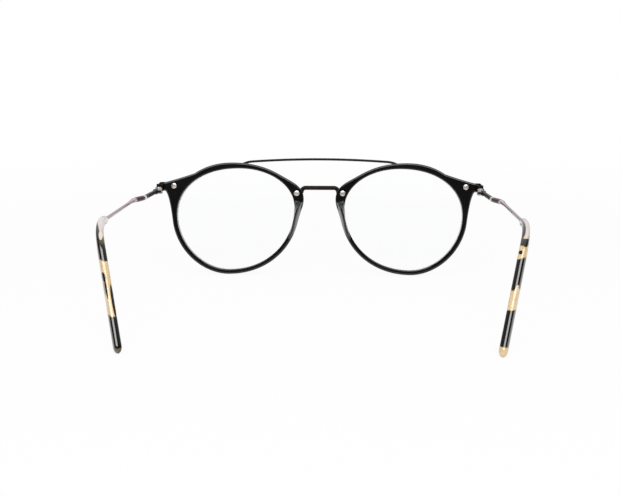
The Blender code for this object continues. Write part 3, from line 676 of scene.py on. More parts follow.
def rose_metal(settings):
    """Polished rose-tinted metal; the collar's dome is darker than the arm behind it; the arm's
    painted reflection fades from light to dark.
    """
    material, tree = new_material("rose_gunmetal_polished")
    vector = object_vector(tree)
    shader = place_polish(tree, vector, Cloud_Scale=260.0, Smoothest=0.08, Roughest=0.17,
                          Waviness=0.02)
    shader.inputs["Metallic"].default_value = 1.0
    parts = add_node(tree, "ShaderNodeSeparateXYZ", {0: vector})
    reach = add_node(tree, "ShaderNodeMapRange",
                     {"Value": parts.outputs[1], "From Min": (HINGE_Y + COLLAR_START) * MM,
                      "From Max": (HINGE_Y + COLLAR_START + 60) * MM})
    tone = add_node(tree, "ShaderNodeValToRGB", {"Fac": reach.outputs[0]})
    rose, dark, bright = settings.rose_colour, settings.collar_colour, settings.steel_colour
    # Painted reflection: the arm is lighter just behind the collar and darker further back.
    set_ramp(tone, ((0.0, bright), (0.045, bright), (0.06, dark), (0.15, dark),
                    (0.165, [c * 1.15 for c in rose]), (0.25, rose),
                    (0.6, [c * 0.75 for c in rose]), (1.0, [c * 0.8 for c in rose])))
    tree.links.new(tone.outputs[0], shader.inputs["Base Color"])
    return material


def bright_steel(settings):
    """Bright screw steel with faint cloudy stains."""
    material, tree = new_material("bright_screw_steel")
    vector = object_vector(tree)
    shader = place_polish(tree, vector, Cloud_Scale=900.0, Smoothest=0.3, Roughest=0.42,
                          Waviness=0.04)
    shader.inputs["Metallic"].default_value = 1.0
    stain = add_node(tree, "ShaderNodeTexNoise", {"Vector": vector, "Scale": 1100.0,
                                                  "Detail": 3.0})
    tone = add_node(tree, "ShaderNodeValToRGB", {"Fac": stain.outputs[0]})
    steel = settings.steel_colour
    set_ramp(tone, ((0.3, [c * 0.75 for c in steel]), (0.62, steel)))
    tree.links.new(tone.outputs[0], shader.inputs["Base Color"])
    return material


def patch_group():
    """Carries a lightness through, except inside one soft-edged oval patch."""
    name = "shell_patch"
    if name in bpy.data.node_groups:
        return bpy.data.node_groups[name]
    tree = bpy.data.node_groups.new(name, "ShaderNodeTree")
    give, take = group_sockets(
        tree,
        (("Lightness", "NodeSocketFloat", 0.5), ("Spot", "NodeSocketVector", None),
         ("Place", "NodeSocketVector", None), ("Reach", "NodeSocketVector", (1, 1, 1)),
         ("Tone", "NodeSocketFloat", 0.2)),
        (("Lightness", "NodeSocketFloat"),))
    away = add_node(tree, "ShaderNodeVectorMath",
                    {0: give.outputs["Spot"], 1: give.outputs["Place"]}, operation="SUBTRACT")
    share = add_node(tree, "ShaderNodeVectorMath",
                     {0: away.outputs[0], 1: give.outputs["Reach"]}, operation="DIVIDE")
    reach = add_node(tree, "ShaderNodeVectorMath", {0: share.outputs[0]}, operation="LENGTH")
    inside = add_node(tree, "ShaderNodeMapRange",
                      {"Value": reach.outputs["Value"], "From Min": 0.8, "From Max": 1.15,
                       "To Min": 1.0, "To Max": 0.0})
    blend = add_node(tree, "ShaderNodeMix", {"Factor": inside.outputs[0]}, data_type="FLOAT")
    tree.links.new(give.outputs["Lightness"], blend.inputs["A"])
    tree.links.new(give.outputs["Tone"], blend.inputs["B"])
    tree.links.new(blend.outputs["Result"], take.inputs[0])
    return tree


def tortoise_group():
    """Turns a dark-to-light mask into the colours of tortoise acetate."""
    name = "tortoise_shell"
    if name in bpy.data.node_groups:
        return bpy.data.node_groups[name]
    tree = bpy.data.node_groups.new(name, "ShaderNodeTree")
    give, take = group_sockets(
        tree,
        (("Vector", "NodeSocketVector", None), ("Lightness", "NodeSocketFloat", 0.5),
         ("Grain", "NodeSocketFloat", 0.25), ("Honey", "NodeSocketColor", (0.7, 0.5, 0.25, 1))),
        (("Color", "NodeSocketColor"),))
    streak = add_node(tree, "ShaderNodeMapping", {"Vector": give.outputs["Vector"],
                                                  "Scale": (1.0, 0.45, 0.45)})
    grain = add_node(tree, "ShaderNodeTexNoise", {"Vector": streak.outputs[0], "Scale": 700.0,
                                                  "Detail": 3.0, "Distortion": 0.6})
    centred = add_node(tree, "ShaderNodeMath", {0: grain.outputs[0], 1: 0.5},
                       operation="SUBTRACT")
    moved = add_node(tree, "ShaderNodeMath", {0: centred.outputs[0], 1: give.outputs["Grain"],
                                              2: give.outputs["Lightness"]},
                     operation="MULTIPLY_ADD")
    shade = add_node(tree, "ShaderNodeValToRGB", {"Fac": moved.outputs[0]})
    set_ramp(shade, ((0.0, (0.006, 0.006, 0.007)), (0.38, (0.010, 0.008, 0.006)),
                     (0.46, (0.085, 0.070, 0.030)), (0.53, (0.30, 0.25, 0.11)),
                     (0.66, (0.80, 0.66, 0.42)), (1.0, (1.0, 0.93, 0.78))))
    tint = add_node(tree, "ShaderNodeMix", {"Factor": 1.0}, data_type="RGBA",
                    blend_type="MULTIPLY")
    tree.links.new(shade.outputs[0], tint.inputs["A"])
    tree.links.new(give.outputs["Honey"], tint.inputs["B"])
    tree.links.new(tint.outputs["Result"], take.inputs["Color"])
    return tree


# Lightness of each tip's shell by height above the ground, in millimetres; the light top bands are
# a painted highlight.
SHELL_BANDS = {
    "left": ((0.0, 0.5), (1.9, 0.47), (2.7, 0.2), (11.0, 0.2), (11.8, 0.72), (16.0, 0.80),
             (19.0, 0.72), (23.5, 0.70), (27.6, 0.72), (28.2, 0.22), (32.2, 0.22),
             (32.9, 0.46), (34.0, 0.46), (35.6, 0.62), (37.0, 0.85)),
    "right": ((0.0, 0.72), (3.0, 0.70), (3.9, 0.2), (13.6, 0.2), (14.3, 0.80), (19.6, 0.72),
              (20.4, 0.2), (28.9, 0.2), (29.5, 0.76), (31.0, 0.70), (32.8, 0.66),
              (33.4, 0.30), (34.8, 0.38), (35.7, 0.80)),
}
SHELL_TOP = 40.0
# Patches in the shell: place outboard of the tip's middle and height, half width and half
# length, all in millimetres, and lightness.
SHELL_PATCHES = {
    "left": ((0.35, 22.9, 0.85, 1.3, 0.15), (0.0, 19.8, 0.35, 3.3, 0.25),
             (0.85, 19.5, 0.5, 2.6, 0.56), (-1.45, 15.8, 0.4, 4.6, 0.2),
             (1.0, 35.6, 1.35, 3.0, 0.15), (-0.75, 35.2, 0.6, 1.2, 0.9)),
    "right": ((0.2, 33.9, 0.9, 1.1, 0.05), (-1.15, 31.1, 0.6, 0.6, 0.3),
              (-1.3, 37.6, 0.8, 2.2, 0.1), (0.0, 20.2, 0.6, 1.4, 0.85)),
}
TIP_MIDDLE = (60.9, 0.26)       # from the middle of the front: at the ground, and per height


def tortoise_acetate(settings, word, side):
    """Black and honey shell in bands and patches along the tip, with ragged borders; a painted
    highlight makes the top light and lilac.
    """
    material, tree = new_material(f"tortoise_acetate_{word}")
    vector = object_vector(tree)
    shader = place_polish(tree, vector, Cloud_Scale=150.0, Smoothest=0.08, Roughest=0.16,
                          Waviness=0.0)
    parts = add_node(tree, "ShaderNodeSeparateXYZ", {0: vector})
    ragged = add_node(tree, "ShaderNodeTexNoise", {"Vector": vector, "Scale": 420.0,
                                                   "Detail": 2.0})
    shift = add_node(tree, "ShaderNodeMath", {0: ragged.outputs[0], 1: 0.0022,
                                              2: parts.outputs[2]}, operation="MULTIPLY_ADD")
    height = add_node(tree, "ShaderNodeMapRange",
                      {"Value": shift.outputs[0], "From Min": 0.0011,
                       "From Max": SHELL_TOP * MM + 0.0011})
    bands = add_node(tree, "ShaderNodeValToRGB", {"Fac": height.outputs[0]})
    set_ramp(bands, [(z / SHELL_TOP, value) for z, value in SHELL_BANDS[word]])
    middle, lean = TIP_MIDDLE
    centre = add_node(tree, "ShaderNodeMath", {0: parts.outputs[2], 1: lean, 2: middle * MM},
                      operation="MULTIPLY_ADD")
    out = add_node(tree, "ShaderNodeMath", {0: parts.outputs[0], 1: float(side)},
                   operation="MULTIPLY")
    across = add_node(tree, "ShaderNodeMath", {0: out.outputs[0], 1: centre.outputs[0]},
                      operation="SUBTRACT")
    spot = add_node(tree, "ShaderNodeCombineXYZ", {0: across.outputs[0], 1: parts.outputs[2]})
    tone = bands.outputs[0]
    for place, up, half_wide, half_long, value in SHELL_PATCHES[word]:
        patch = add_node(tree, "ShaderNodeGroup", node_tree=patch_group())
        tree.links.new(tone, patch.inputs["Lightness"])
        tree.links.new(spot.outputs[0], patch.inputs["Spot"])
        patch.inputs["Place"].default_value = (place * MM, up * MM, 0)
        patch.inputs["Reach"].default_value = (half_wide * MM, half_long * MM, 1)
        patch.inputs["Tone"].default_value = value
        tone = patch.outputs[0]
    shell = add_node(tree, "ShaderNodeGroup", node_tree=tortoise_group())
    tree.links.new(vector, shell.inputs["Vector"])
    tree.links.new(tone, shell.inputs["Lightness"])
    # Painted highlight: towards the top of the tip the shell's tint turns from honey to lilac.
    top = add_node(tree, "ShaderNodeMapRange",
                   {"Value": parts.outputs[2], "From Min": 33.5 * MM, "From Max": 35.5 * MM})
    tint = add_node(tree, "ShaderNodeMix", {"Factor": top.outputs[0]}, data_type="RGBA")
    tint.inputs["A"].default_value = (*settings.honey_colour, 1)
    tint.inputs["B"].default_value = (*settings.lilac_highlight_colour, 1)
    tree.links.new(tint.outputs["Result"], shell.inputs["Honey"])
    tree.links.new(shell.outputs[0], shader.inputs["Base Color"])
    shader.inputs["IOR"].default_value = 1.47
    shader.inputs["Coat Weight"].default_value = 1.0
    shader.inputs["Coat IOR"].default_value = 1.55
    shader.inputs["Coat Roughness"].default_value = 0.06
    return material


# ---- Geometry Nodes -----------------------------------------------------------------------
def wire_tree():
    """Sweep a round wire along the object's own edges."""
    tree = bpy.data.node_groups.new("round_wire", "GeometryNodeTree")
    give, take = group_sockets(
        tree,
        (("Path", "NodeSocketGeometry", None), ("Radius", "NodeSocketFloat", 0.5),
         ("Sides", "NodeSocketInt", 24), ("Material", "NodeSocketMaterial", None)),
        (("Wire", "NodeSocketGeometry"),))
    path = add_node(tree, "GeometryNodeMeshToCurve", {0: give.outputs["Path"]})
    ring = add_node(tree, "GeometryNodeCurvePrimitiveCircle",
                    {"Resolution": give.outputs["Sides"], "Radius": give.outputs["Radius"]})
    wire = add_node(tree, "GeometryNodeCurveToMesh",
                    {"Curve": path.outputs[0], "Profile Curve": ring.outputs["Curve"],
                     "Fill Caps": True})
    real = add_node(tree, "GeometryNodeRealizeInstances", {0: wire.outputs[0]})
    paint = add_node(tree, "GeometryNodeSetMaterial", {0: real.outputs[0]})
    tree.links.new(give.outputs["Material"], paint.inputs["Material"])
    tree.links.new(paint.outputs[0], take.inputs[0])
    return tree


def set_out_tree():
    """Set one head out on every point, turned to the direction stored there."""
    tree = bpy.data.node_groups.new("set_out_heads", "GeometryNodeTree")
    give, take = group_sockets(
        tree,
        (("Points", "NodeSocketGeometry", None), ("Head", "NodeSocketObject", None),
         ("Size", "NodeSocketFloat", 1.0), ("Turn", "NodeSocketFloat", 0.4),
         ("Material", "NodeSocketMaterial", None)),
        (("Heads", "NodeSocketGeometry"),))
    head = add_node(tree, "GeometryNodeObjectInfo", {"Object": give.outputs["Head"]})
    facing = add_node(tree, "GeometryNodeInputNamedAttribute", {"Name": "facing"},
                      data_type="FLOAT_VECTOR")
    aim = add_node(tree, "FunctionNodeAlignRotationToVector",
                   {"Vector": facing.outputs[0]}, axis="Z")
    index = add_node(tree, "GeometryNodeInputIndex")
    spin = add_node(tree, "ShaderNodeMath", {0: index.outputs[0], 1: give.outputs["Turn"]},
                    operation="MULTIPLY")
    about = add_node(tree, "FunctionNodeAxisAngleToRotation",
                     {"Axis": (0, 0, 1), "Angle": spin.outputs[0]})
    turned = add_node(tree, "FunctionNodeRotateRotation",
                      {0: aim.outputs[0], 1: about.outputs[0]}, rotation_space="LOCAL")
    copies = add_node(tree, "GeometryNodeInstanceOnPoints",
                      {"Points": give.outputs["Points"], "Instance": head.outputs["Geometry"],
                       "Rotation": turned.outputs[0], "Scale": give.outputs["Size"]})
    real = add_node(tree, "GeometryNodeRealizeInstances", {0: copies.outputs[0]})
    paint = add_node(tree, "GeometryNodeSetMaterial", {0: real.outputs[0]})
    tree.links.new(give.outputs["Material"], paint.inputs["Material"])
    tree.links.new(paint.outputs[0], take.inputs[0])
    return tree


def run_tree(obj, tree, **values):
    """Run a Geometry Nodes tree on an object and keep the result as its plain mesh."""
    modifier = obj.modifiers.new(tree.name, "NODES")
    modifier.node_group = tree
    for item in tree.interface.items_tree:
        if item.in_out == "INPUT" and item.name in values:
            modifier[item.identifier] = values[item.name]
    bake(obj)
    return obj


def mesh_of_points(name, points, edges=(), facing=None):
    mesh = bpy.data.meshes.new(name)
    mesh.from_pydata([tuple(p) for p in points], list(edges), [])
    if facing:
        attribute = mesh.attributes.new("facing", "FLOAT_VECTOR", "POINT")
        attribute.data.foreach_set("vector", [c for v in facing for c in v])
    obj = bpy.data.objects.new(name, mesh)
    bpy.context.scene.collection.objects.link(obj)
    return obj


# ---- Front pieces -------------------------------------------------------------------------
def rounding(point, radius, face, steps):
    """A quarter round between a wall and the front (-1) or back (+1) face."""
    ring = []
    for i in range(steps + 1):
        t = math.radians(90 * i / steps)
        ring.append(point(face * (BACK - radius * (1 - math.sin(t))),
                          radius * (1 - math.cos(t))))
    ring.append(point(face * BACK, radius + 0.1))
    return ring


def rim_body(side, name, outer_round):
    """Acetate rim with its endpiece lug, lens groove and screw recesses."""
    angles, outer = rim_stations()
    rings = []
    for i, angle in enumerate(angles):
        nx, ny = outward(outer, i)
        ox, oy = outer[i]

        def inner(depth, inset):
            return front(*insert(depth, lens_point(*opening_point(angle, inset))))

        def edge(depth, inset):
            return front(*insert(depth, lens_point(ox - nx * inset, oy - ny * inset)))

        ring = [inner(GROOVE_HALF, 0), inner(GROOVE_HALF * 0.55, GROOVE_DEPTH * 0.8),
                inner(0, GROOVE_DEPTH), inner(-GROOVE_HALF * 0.55, GROOVE_DEPTH * 0.8),
                inner(-GROOVE_HALF, 0)]
        ring += rounding(inner, INNER_ROUND, -1, 5)
        ring += rounding(edge, outer_round, -1, 7)[::-1]
        ring += rounding(edge, outer_round, 1, 7)
        ring += rounding(inner, INNER_ROUND, 1, 5)[::-1]
        rings.append(ring)
    rim = add_mesh(name, *loft(rings, closed=True), side=side)
    for spot in (ENDPIECE_SCREW, BRIDGE_SCREW):
        recess = circle(spot, SCREW_HEAD_R + GAP / 2)
        combine(rim, prism(recess, BACK - SCREW_RECESS, BACK + 1, side=side), "DIFFERENCE")
    return rim


def insert(depth, spot):
    return spot[0], depth, spot[1]


def lens_body(side, name, count=176, steps=12):
    """Curved lens with a bevelled edge that sits in the rim's groove."""
    half = LENS_THICKNESS / 2

    def ring(share, face):
        points = []
        for i in range(count):
            u, w = opening_point(360 * i / count, -0.05)
            x, v = lens_point(u * share, w * share)
            points.append(front(x, face * half - LENS_BULGE * (1 - share * share), v))
        return points

    shares = [0.02 + 0.98 * i / steps for i in range(steps + 1)]
    ridge = [front(*insert(0, lens_point(*opening_point(360 * i / count, GROOVE_DEPTH - FIT))))
             for i in range(count)]
    rings = [ring(s, -1) for s in shares] + [ridge] + [ring(s, 1) for s in reversed(shares)]
    return add_mesh(name, *loft(rings), side=side, sharp=30)


PAD_STATIONS = (            # place along the pad, share of its full height
    (0.0, 0.30), (0.05, 0.66), (0.13, 0.9), (0.27, 1.0), (0.42, 0.98), (0.58, 0.85),
    (0.74, 0.62), (0.88, 0.36), (1.0, 0.1),
)


def pad_body(side, name, edge):
    """Saddle pad on the back of the rim, filed to a flat nose side and rubbed smooth."""
    top = (LENS_X - HALF_W - PAD_TOP[0], LENS_V + PAD_TOP[1])
    bottom_x = LENS_X - HALF_W + PAD_BOTTOM_OUT
    drop = math.sqrt(PAD_LENGTH ** 2 - (bottom_x - top[0]) ** 2)
    along = Vector(((bottom_x - top[0]) / PAD_LENGTH, -drop / PAD_LENGTH))
    inward = Vector((-along.y, along.x))
    rings = []
    for i in range(49):
        share = ease(i / 48) * 0.6 + (i / 48) * 0.4
        height, = curve_through(PAD_STATIONS, share)
        cx, cv = top[0] + along.x * PAD_LENGTH * share, top[1] + along.y * PAD_LENGTH * share
        rise = PAD_HEIGHT * height
        narrow = mix(PAD_BASE, PAD_FOOT, min(1.0, 2 * share))
        flare = PAD_FLARE - PAD_CURL * ease((share - PAD_CURL_FROM) / (1 - PAD_CURL_FROM))
        ridge = PAD_SPLAY * height - flare
        foot = -GAP - SUNK
        outline = ((-flare, foot), (ridge, rise * 0.85), (ridge + 0.1, rise * 0.93),
                   (ridge + 0.25, rise * 0.98), (ridge + 0.5, rise), (ridge + 0.75, rise * 0.95),
                   (ridge + 0.88, rise * 0.85), (max(ridge + 0.95, narrow * 0.9), rise * 0.45),
                   (narrow, foot))
        rings.append([front(cx + inward.x * a, BACK + GAP + b, cv + inward.y * a)
                      for a, b in outline])
    pad = add_mesh(name, *loft(rings), side=side, sharp=25)
    return bevel(pad, edge, 2)


def flat_sweep(path, depth, half_width, half_height, count, name):
    """Sweep a section along a path of the flat drawing."""
    through = Vector((0, math.cos(LEAN), math.sin(LEAN)))
    rings = []
    for i, (x, v) in enumerate(path):
        a, b = path[max(i - 1, 0)], path[min(i + 1, len(path) - 1)]
        along = (front(b[0], depth, b[1]) - front(a[0], depth, a[1])).normalized()
        up = through.cross(along).normalized()
        rings.append(section(front(x, depth, v), through, up, half_width, half_height,
                             count, 2.3))
    return add_mesh(name, *loft(rings))


def pebble(outline_at, low, high, edge, side, name="tool", steps=6):
    """A plate with a softly rounded front rim; outline_at(inset) gives its outline."""
    rings = []
    for i in range(steps + 1):
        t = math.radians(90 * i / steps)
        depth, inset = low + edge * (1 - math.sin(t)), edge * (1 - math.cos(t))
        rings.insert(0, [front(a, depth, b) for a, b in outline_at(inset)])
    rings.append([front(a, high, b) for a, b in outline_at(0)])
    return add_mesh(name, *loft(rings), side=side)


def bridge_body(name):
    """Nose bridge: a bar with turned-down ends on two oval plates."""
    high = TOP_V - BRIDGE_DROP
    leg_x = LENS_X - HALF_W - BRIDGE_LEG_IN
    plate_x, plate_v = BRIDGE_SCREW
    half = [(leg_x * t, high) for t in (0, 0.2, 0.4, 0.6)]
    for i in range(19):
        t = math.radians(90 - 5 * i)
        half.append((leg_x - BRIDGE_CORNER + BRIDGE_CORNER * math.cos(t),
                     high - BRIDGE_CORNER + BRIDGE_CORNER * math.sin(t)))
    half.append((leg_x + 0.3, plate_v - 0.2))
    path = [(-x, v) for x, v in reversed(half[1:])] + half
    bridge = flat_sweep(path, -BACK - GAP - BRIDGE_HALF_DEPTH, BRIDGE_HALF_DEPTH,
                        BRIDGE_HALF_HEIGHT, 32, name)

    def oval(inset):
        wide, high = (half_size - inset for half_size in BRIDGE_PLATE_HALF)
        turns = [2 * math.pi * i / 72 for i in range(72)]
        return [(plate_x + wide * math.cos(t), plate_v + high * math.sin(t)) for t in turns]

    for side in (1, -1):
        combine(bridge, pebble(oval, -BACK - GAP - PLATE_THICKNESS, -BACK + SUNK,
                               BRIDGE_PLATE_EDGE, side))
    return bridge


def brow_bar_body(name, material, radius):
    """Arched wire above the bridge, with a round foot on the front of each rim."""
    depth = -BACK - GAP - 0.5
    high = TOP_V + BROW_RISE
    foot_x, foot_v = BROW_FOOT
    last = foot_x - BROW_SWEEP
    drop = last * last / (2 * BROW_RADIUS)
    half = [(last * i / 30, high - (last * i / 30) ** 2 / (2 * BROW_RADIUS)) for i in range(31)]
    bend = (mix(last, foot_x, 0.6), high - drop - 0.6 * BROW_SWEEP * last / BROW_RADIUS)
    half += [bezier(half[-1], bend, (foot_x, foot_v), i / 20) for i in range(1, 21)]
    path = [front(-x, depth, v) for x, v in reversed(half[1:])]
    path += [front(x, depth, v) for x, v in half]
    bar = mesh_of_points(name, path, [(i, i + 1) for i in range(len(path) - 1)])
    run_tree(bar, wire_tree(), Radius=radius, Sides=28, Material=material)

    def foot(inset):
        return circle(BROW_FOOT, BROW_FOOT_R - inset)

    for side in (1, -1):
        combine(bar, pebble(foot, -BACK - GAP - BROW_FOOT_THICKNESS, -BACK + SUNK,
                            BROW_FOOT_EDGE, side))
    return bar


def screw_head(name, radius, height, shank, slots, depth):
    """A low domed head round the Z axis, with its drive recess cut in."""
    dome = height * 0.78
    profile = [(shank - 0.12, -1.3), (shank, -1.15), (shank, 0.0), (radius, 0.0),
               (radius, dome - HEAD_EDGE)]
    for i in range(1, 7):
        t = math.radians(90 * i / 6)
        profile.append((radius - HEAD_EDGE * (1 - math.cos(t)),
                        dome - HEAD_EDGE * (1 - math.sin(t))))
    for share in (0.75, 0.55, 0.35, 0.15, 0.02):
        profile.append(((radius - HEAD_EDGE) * share, dome + (height - dome) * (1 - share * share)))
    rings = [[Vector((a, b, z)) for a, b in circle((0, 0), r, 40)] for r, z in profile]
    head = add_mesh(name, *loft(rings))
    for half in slots:
        tool = prism(rounded_box((0, 0), half, min(half) * 0.5, 2), height - depth, height + 1,
                     plan)
        combine(head, tool, "DIFFERENCE")
    return head


def set_out(name, head, points, facing, material, turn):
    """Set copies of a head out on points; the pattern object is then dropped."""
    heads = mesh_of_points(name, points, facing=facing)
    run_tree(heads, set_out_tree(), Head=head, Turn=turn, Material=material)
    bpy.data.objects.remove(head)
    return soften(heads, 30)


# ---- Hinge pieces -------------------------------------------------------------------------
def barrel(start, low, high, side, flip=1):
    """A knuckle: a round barrel with a leaf running from start, seen from above."""
    outline = [(HINGE_X + KNUCKLE_R, start)]
    for i in range(25):
        t = math.radians(7.5 * i) * flip
        outline.append((HINGE_X + KNUCKLE_R * math.cos(t), HINGE_Y + KNUCKLE_R * math.sin(t)))
    outline.append((HINGE_X - KNUCKLE_R, start))
    return prism(outline, HINGE_Z + low, HINGE_Z + high, plan, side, edge=0.07)


def bore(side):
    hole = circle((HINGE_X, HINGE_Y), HINGE_SCREW_R + RUNNING, 32)
    return prism(hole, HINGE_Z - 3, HINGE_Z + 3, plan, side)


def endpiece_body(side, name):
    """Metal corner: shield plate in front of the lug, block round its end, two knuckles."""
    screw_x, screw_v = ENDPIECE_SCREW
    inner_x = screw_x - SHIELD_IN
    face = -BACK - GAP
    centre = ((inner_x + ENDPIECE_OUTER) / 2, (screw_v + LUG_V) / 2)
    half = ((ENDPIECE_OUTER - inner_x) / 2, SHIELD_HALF_HEIGHT)

    def shield(inset):
        return rounded_box(centre, (half[0] - inset, half[1] - inset), SHIELD_CORNER - inset)

    endpiece = pebble(shield, face - PLATE_THICKNESS, -BACK + SUNK, SHIELD_EDGE, side, name)
    near = LUG_X - SUNK
    block_centre = ((near + ENDPIECE_OUTER) / 2, LUG_V - BLOCK_DROP)
    block = rounded_box(block_centre, ((ENDPIECE_OUTER - near) / 2, 1.5), 0.35, 4)
    combine(endpiece, prism(block, face - 0.6, BACK + 1.6, side=side, edge=0.14))
    rear = HINGE_Y - KNUCKLE_R - GAP
    inner = HINGE_X - KNUCKLE_R
    stock = [(LUG_X + GAP, rear - BLOCK_BACK), (ENDPIECE_OUTER, rear - BLOCK_BACK),
             (ENDPIECE_OUTER, rear - 0.1), (inner, rear - 0.1), (inner, rear - 1.2)]
    combine(endpiece, prism(stock, HINGE_Z - LEAF_TOP, HINGE_Z + LEAF_TOP, plan, side,
                            edge=0.1))
    for low, high in ((LEAF_TOP - KNUCKLE_LEAF, LEAF_TOP), (-LEAF_TOP, KNUCKLE_LEAF - LEAF_TOP)):
        combine(endpiece, barrel(rear - LEAF_ROOT, low, high, side))
    return combine(endpiece, bore(side), "DIFFERENCE")


def hinge_bar_body(side, name):
    """Black front end of the temple: middle knuckle, heel and a slim square bar."""
    wide, tall = HINGE_BAR_HALF
    root = (HINGE_BAR_ROOT, LEAF_TOP - 0.1)
    knots = ((BAR_START + 0.1, *root), (BAR_START + 1.4, *root),
             (BAR_START + 3.2, wide, tall), (BAR_START + 9, wide, tall),
             (COLLAR_START + 0.2, wide, tall))
    stations = [(t, *curve_through(knots, t)) for t in
                [mix(knots[0][0], knots[-1][0], i / 60) for i in range(61)]]
    stations = [(t, min(w, root[0]), min(h, root[1])) for t, w, h in stations]
    bar = temple_loft(stations, 40, 4.0, name, side)
    half = KNUCKLE_MIDDLE / 2
    combine(bar, barrel(HINGE_Y + BAR_START + LEAF_ROOT, -half, half, side, flip=-1))
    heel_in = HINGE_X + KNUCKLE_R + FIT
    heel = [(heel_in, HINGE_Y - KNUCKLE_R), (ENDPIECE_OUTER, HINGE_Y - KNUCKLE_R),
            (ENDPIECE_OUTER, HINGE_Y + BAR_START + 1.2), (heel_in, HINGE_Y + BAR_START + 1.2)]
    combine(bar, prism(heel, HINGE_Z - tall, HINGE_Z + tall, plan, side, edge=0.08))
    return combine(bar, bore(side), "DIFFERENCE")


# ---- Temple pieces ------------------------------------------------------------------------
COLLAR_KNOTS = (            # share of the collar, half width, half height
    (0.0, 0.80, 0.69), (0.02, 0.93, 0.82), (0.05, 1.03, 0.9), (0.15, 1.14, 0.99),
    (0.38, 1.14, 0.99), (0.55, 0.96, 0.83), (0.78, 0.75, 0.65), (1.0, ARM_WIRE_R, ARM_WIRE_R),
)


def arm_body(side, name):
    """Collar with a domed nose, its long taper and the thin polished arm."""
    stations = []
    for i in range(61):
        share = i / 60
        wide, tall = curve_through(COLLAR_KNOTS, share)
        stations.append((COLLAR_START + COLLAR_LENGTH * share, wide, tall))
    start, end = COLLAR_START + COLLAR_LENGTH, TIP_START + 3
    stations += [(mix(start, end, i / 80), ARM_WIRE_R, ARM_WIRE_R) for i in range(1, 81)]
    return temple_loft(stations, 32, 2.0, name, side)


def tip_body(side, name):
    """Acetate tip: slim at the arm, fuller past the ear, round at its end."""
    wide, tall = (TIP_SLIM * half for half in TIP_HALF)
    bend_end = BEND_START + BEND_RADIUS * TURN
    stations = [(TIP_START, ARM_WIRE_R + 0.02, ARM_WIRE_R + 0.02),
                (TIP_START + 0.01, 0.72, 0.86), (TIP_START + 0.12, 0.84, 0.99)]
    for i in range(60):
        share = i / 59
        length = mix(TIP_START + 0.5, bend_end + 3, share)
        grow = ease((length - TIP_START - 2) / (bend_end + 1 - TIP_START) * 1.6)
        open_up = ease((length - TIP_START) / 2.0)
        stations.append((length, mix(mix(0.98, 1.15, open_up), wide, grow),
                         mix(mix(1.18, 1.4, open_up), tall, grow)))
    stations += [(mix(bend_end + 3, TIP_END - TIP_ROUND, i / 40), wide, tall)
                 for i in range(1, 41)]
    for i in range(1, 15):
        share = math.sin(math.radians(90 * i / 14)) * 0.999
        size = end_size(share)
        stations.append((TIP_END - TIP_ROUND * (1 - share), wide * size, tall * size))
    return temple_loft(stations, 48, 3.0, name, side)


# ---- Settings -----------------------------------------------------------------------------
class EyeglassFinish(bpy.types.PropertyGroup):
    """Colours of the acetate, the metals and the lenses."""
    acetate_colour: bpy.props.FloatVectorProperty(
        name="Acetate", description="Colour of the rims and nose pads", subtype="COLOR",
        size=3, min=0, max=1, default=(0.006, 0.0055, 0.0055))
    honey_colour: bpy.props.FloatVectorProperty(
        name="Honey", description="Tint of the light patches in the tortoise tips",
        subtype="COLOR", size=3, min=0, max=1, default=(0.92, 0.80, 0.66))
    # The lilac tint is a painted highlight on the tops of the tips.
    lilac_highlight_colour: bpy.props.FloatVectorProperty(
        name="Lilac", description="Tint of the shell where the tips take over from the arms",
        subtype="COLOR", size=3, min=0, max=1, default=(0.80, 0.80, 1.0))
    lacquer_colour: bpy.props.FloatVectorProperty(
        name="Lacquer", description="Colour of the lacquered bridge, brow bar and hinges",
        subtype="COLOR", size=3, min=0, max=1, default=(0.012, 0.006, 0.006))
    rose_colour: bpy.props.FloatVectorProperty(
        name="Rose metal", description="Colour of the polished temple arms", subtype="COLOR",
        size=3, min=0, max=1, default=(0.54, 0.38, 0.44))
    collar_colour: bpy.props.FloatVectorProperty(
        name="Collar", description="Darker colour of the collar's dome", subtype="COLOR",
        size=3, min=0, max=1, default=(0.060, 0.032, 0.040))
    steel_colour: bpy.props.FloatVectorProperty(
        name="Screw steel", description="Colour of the screws and bare hinge edges",
        subtype="COLOR", size=3, min=0, max=1, default=(0.82, 0.78, 0.73))
    lens_tint: bpy.props.FloatVectorProperty(
        name="Lens tint", description="Faint tint of the clear lenses", subtype="COLOR",
        size=3, min=0, max=1, default=(0.995, 0.998, 0.998))


class EyeglassSizes(bpy.types.PropertyGroup):
    """Sizes a maker may choose within the fixed outline of the frame."""
    rim_edge: bpy.props.FloatProperty(
        name="Rim edge", description="Radius rubbed onto the outer edges of the rims",
        subtype="DISTANCE", unit="LENGTH", default=OUTER_ROUND * MM, min=0.0002, max=0.0012)
    pad_edge: bpy.props.FloatProperty(
        name="Pad edge", description="Radius rubbed onto the edges of the nose pads",
        subtype="DISTANCE", unit="LENGTH", default=0.00012, min=0.00002, max=0.0003)
    brow_radius: bpy.props.FloatProperty(
        name="Brow wire", description="Radius of the wire of the brow bar",
        subtype="DISTANCE", unit="LENGTH", default=0.00049, min=0.0002, max=0.00049)
    slot_width: bpy.props.FloatProperty(
        name="Slot", description="Width of the drive slots in the rim screws",
        subtype="DISTANCE", unit="LENGTH", default=0.00026, min=0.0001, max=0.0006)
    screw_turn: bpy.props.FloatProperty(
        name="Slot angle", description="How far the rim screws are turned in their holes",
        subtype="ANGLE", default=0.55, min=-3.14, max=3.14)


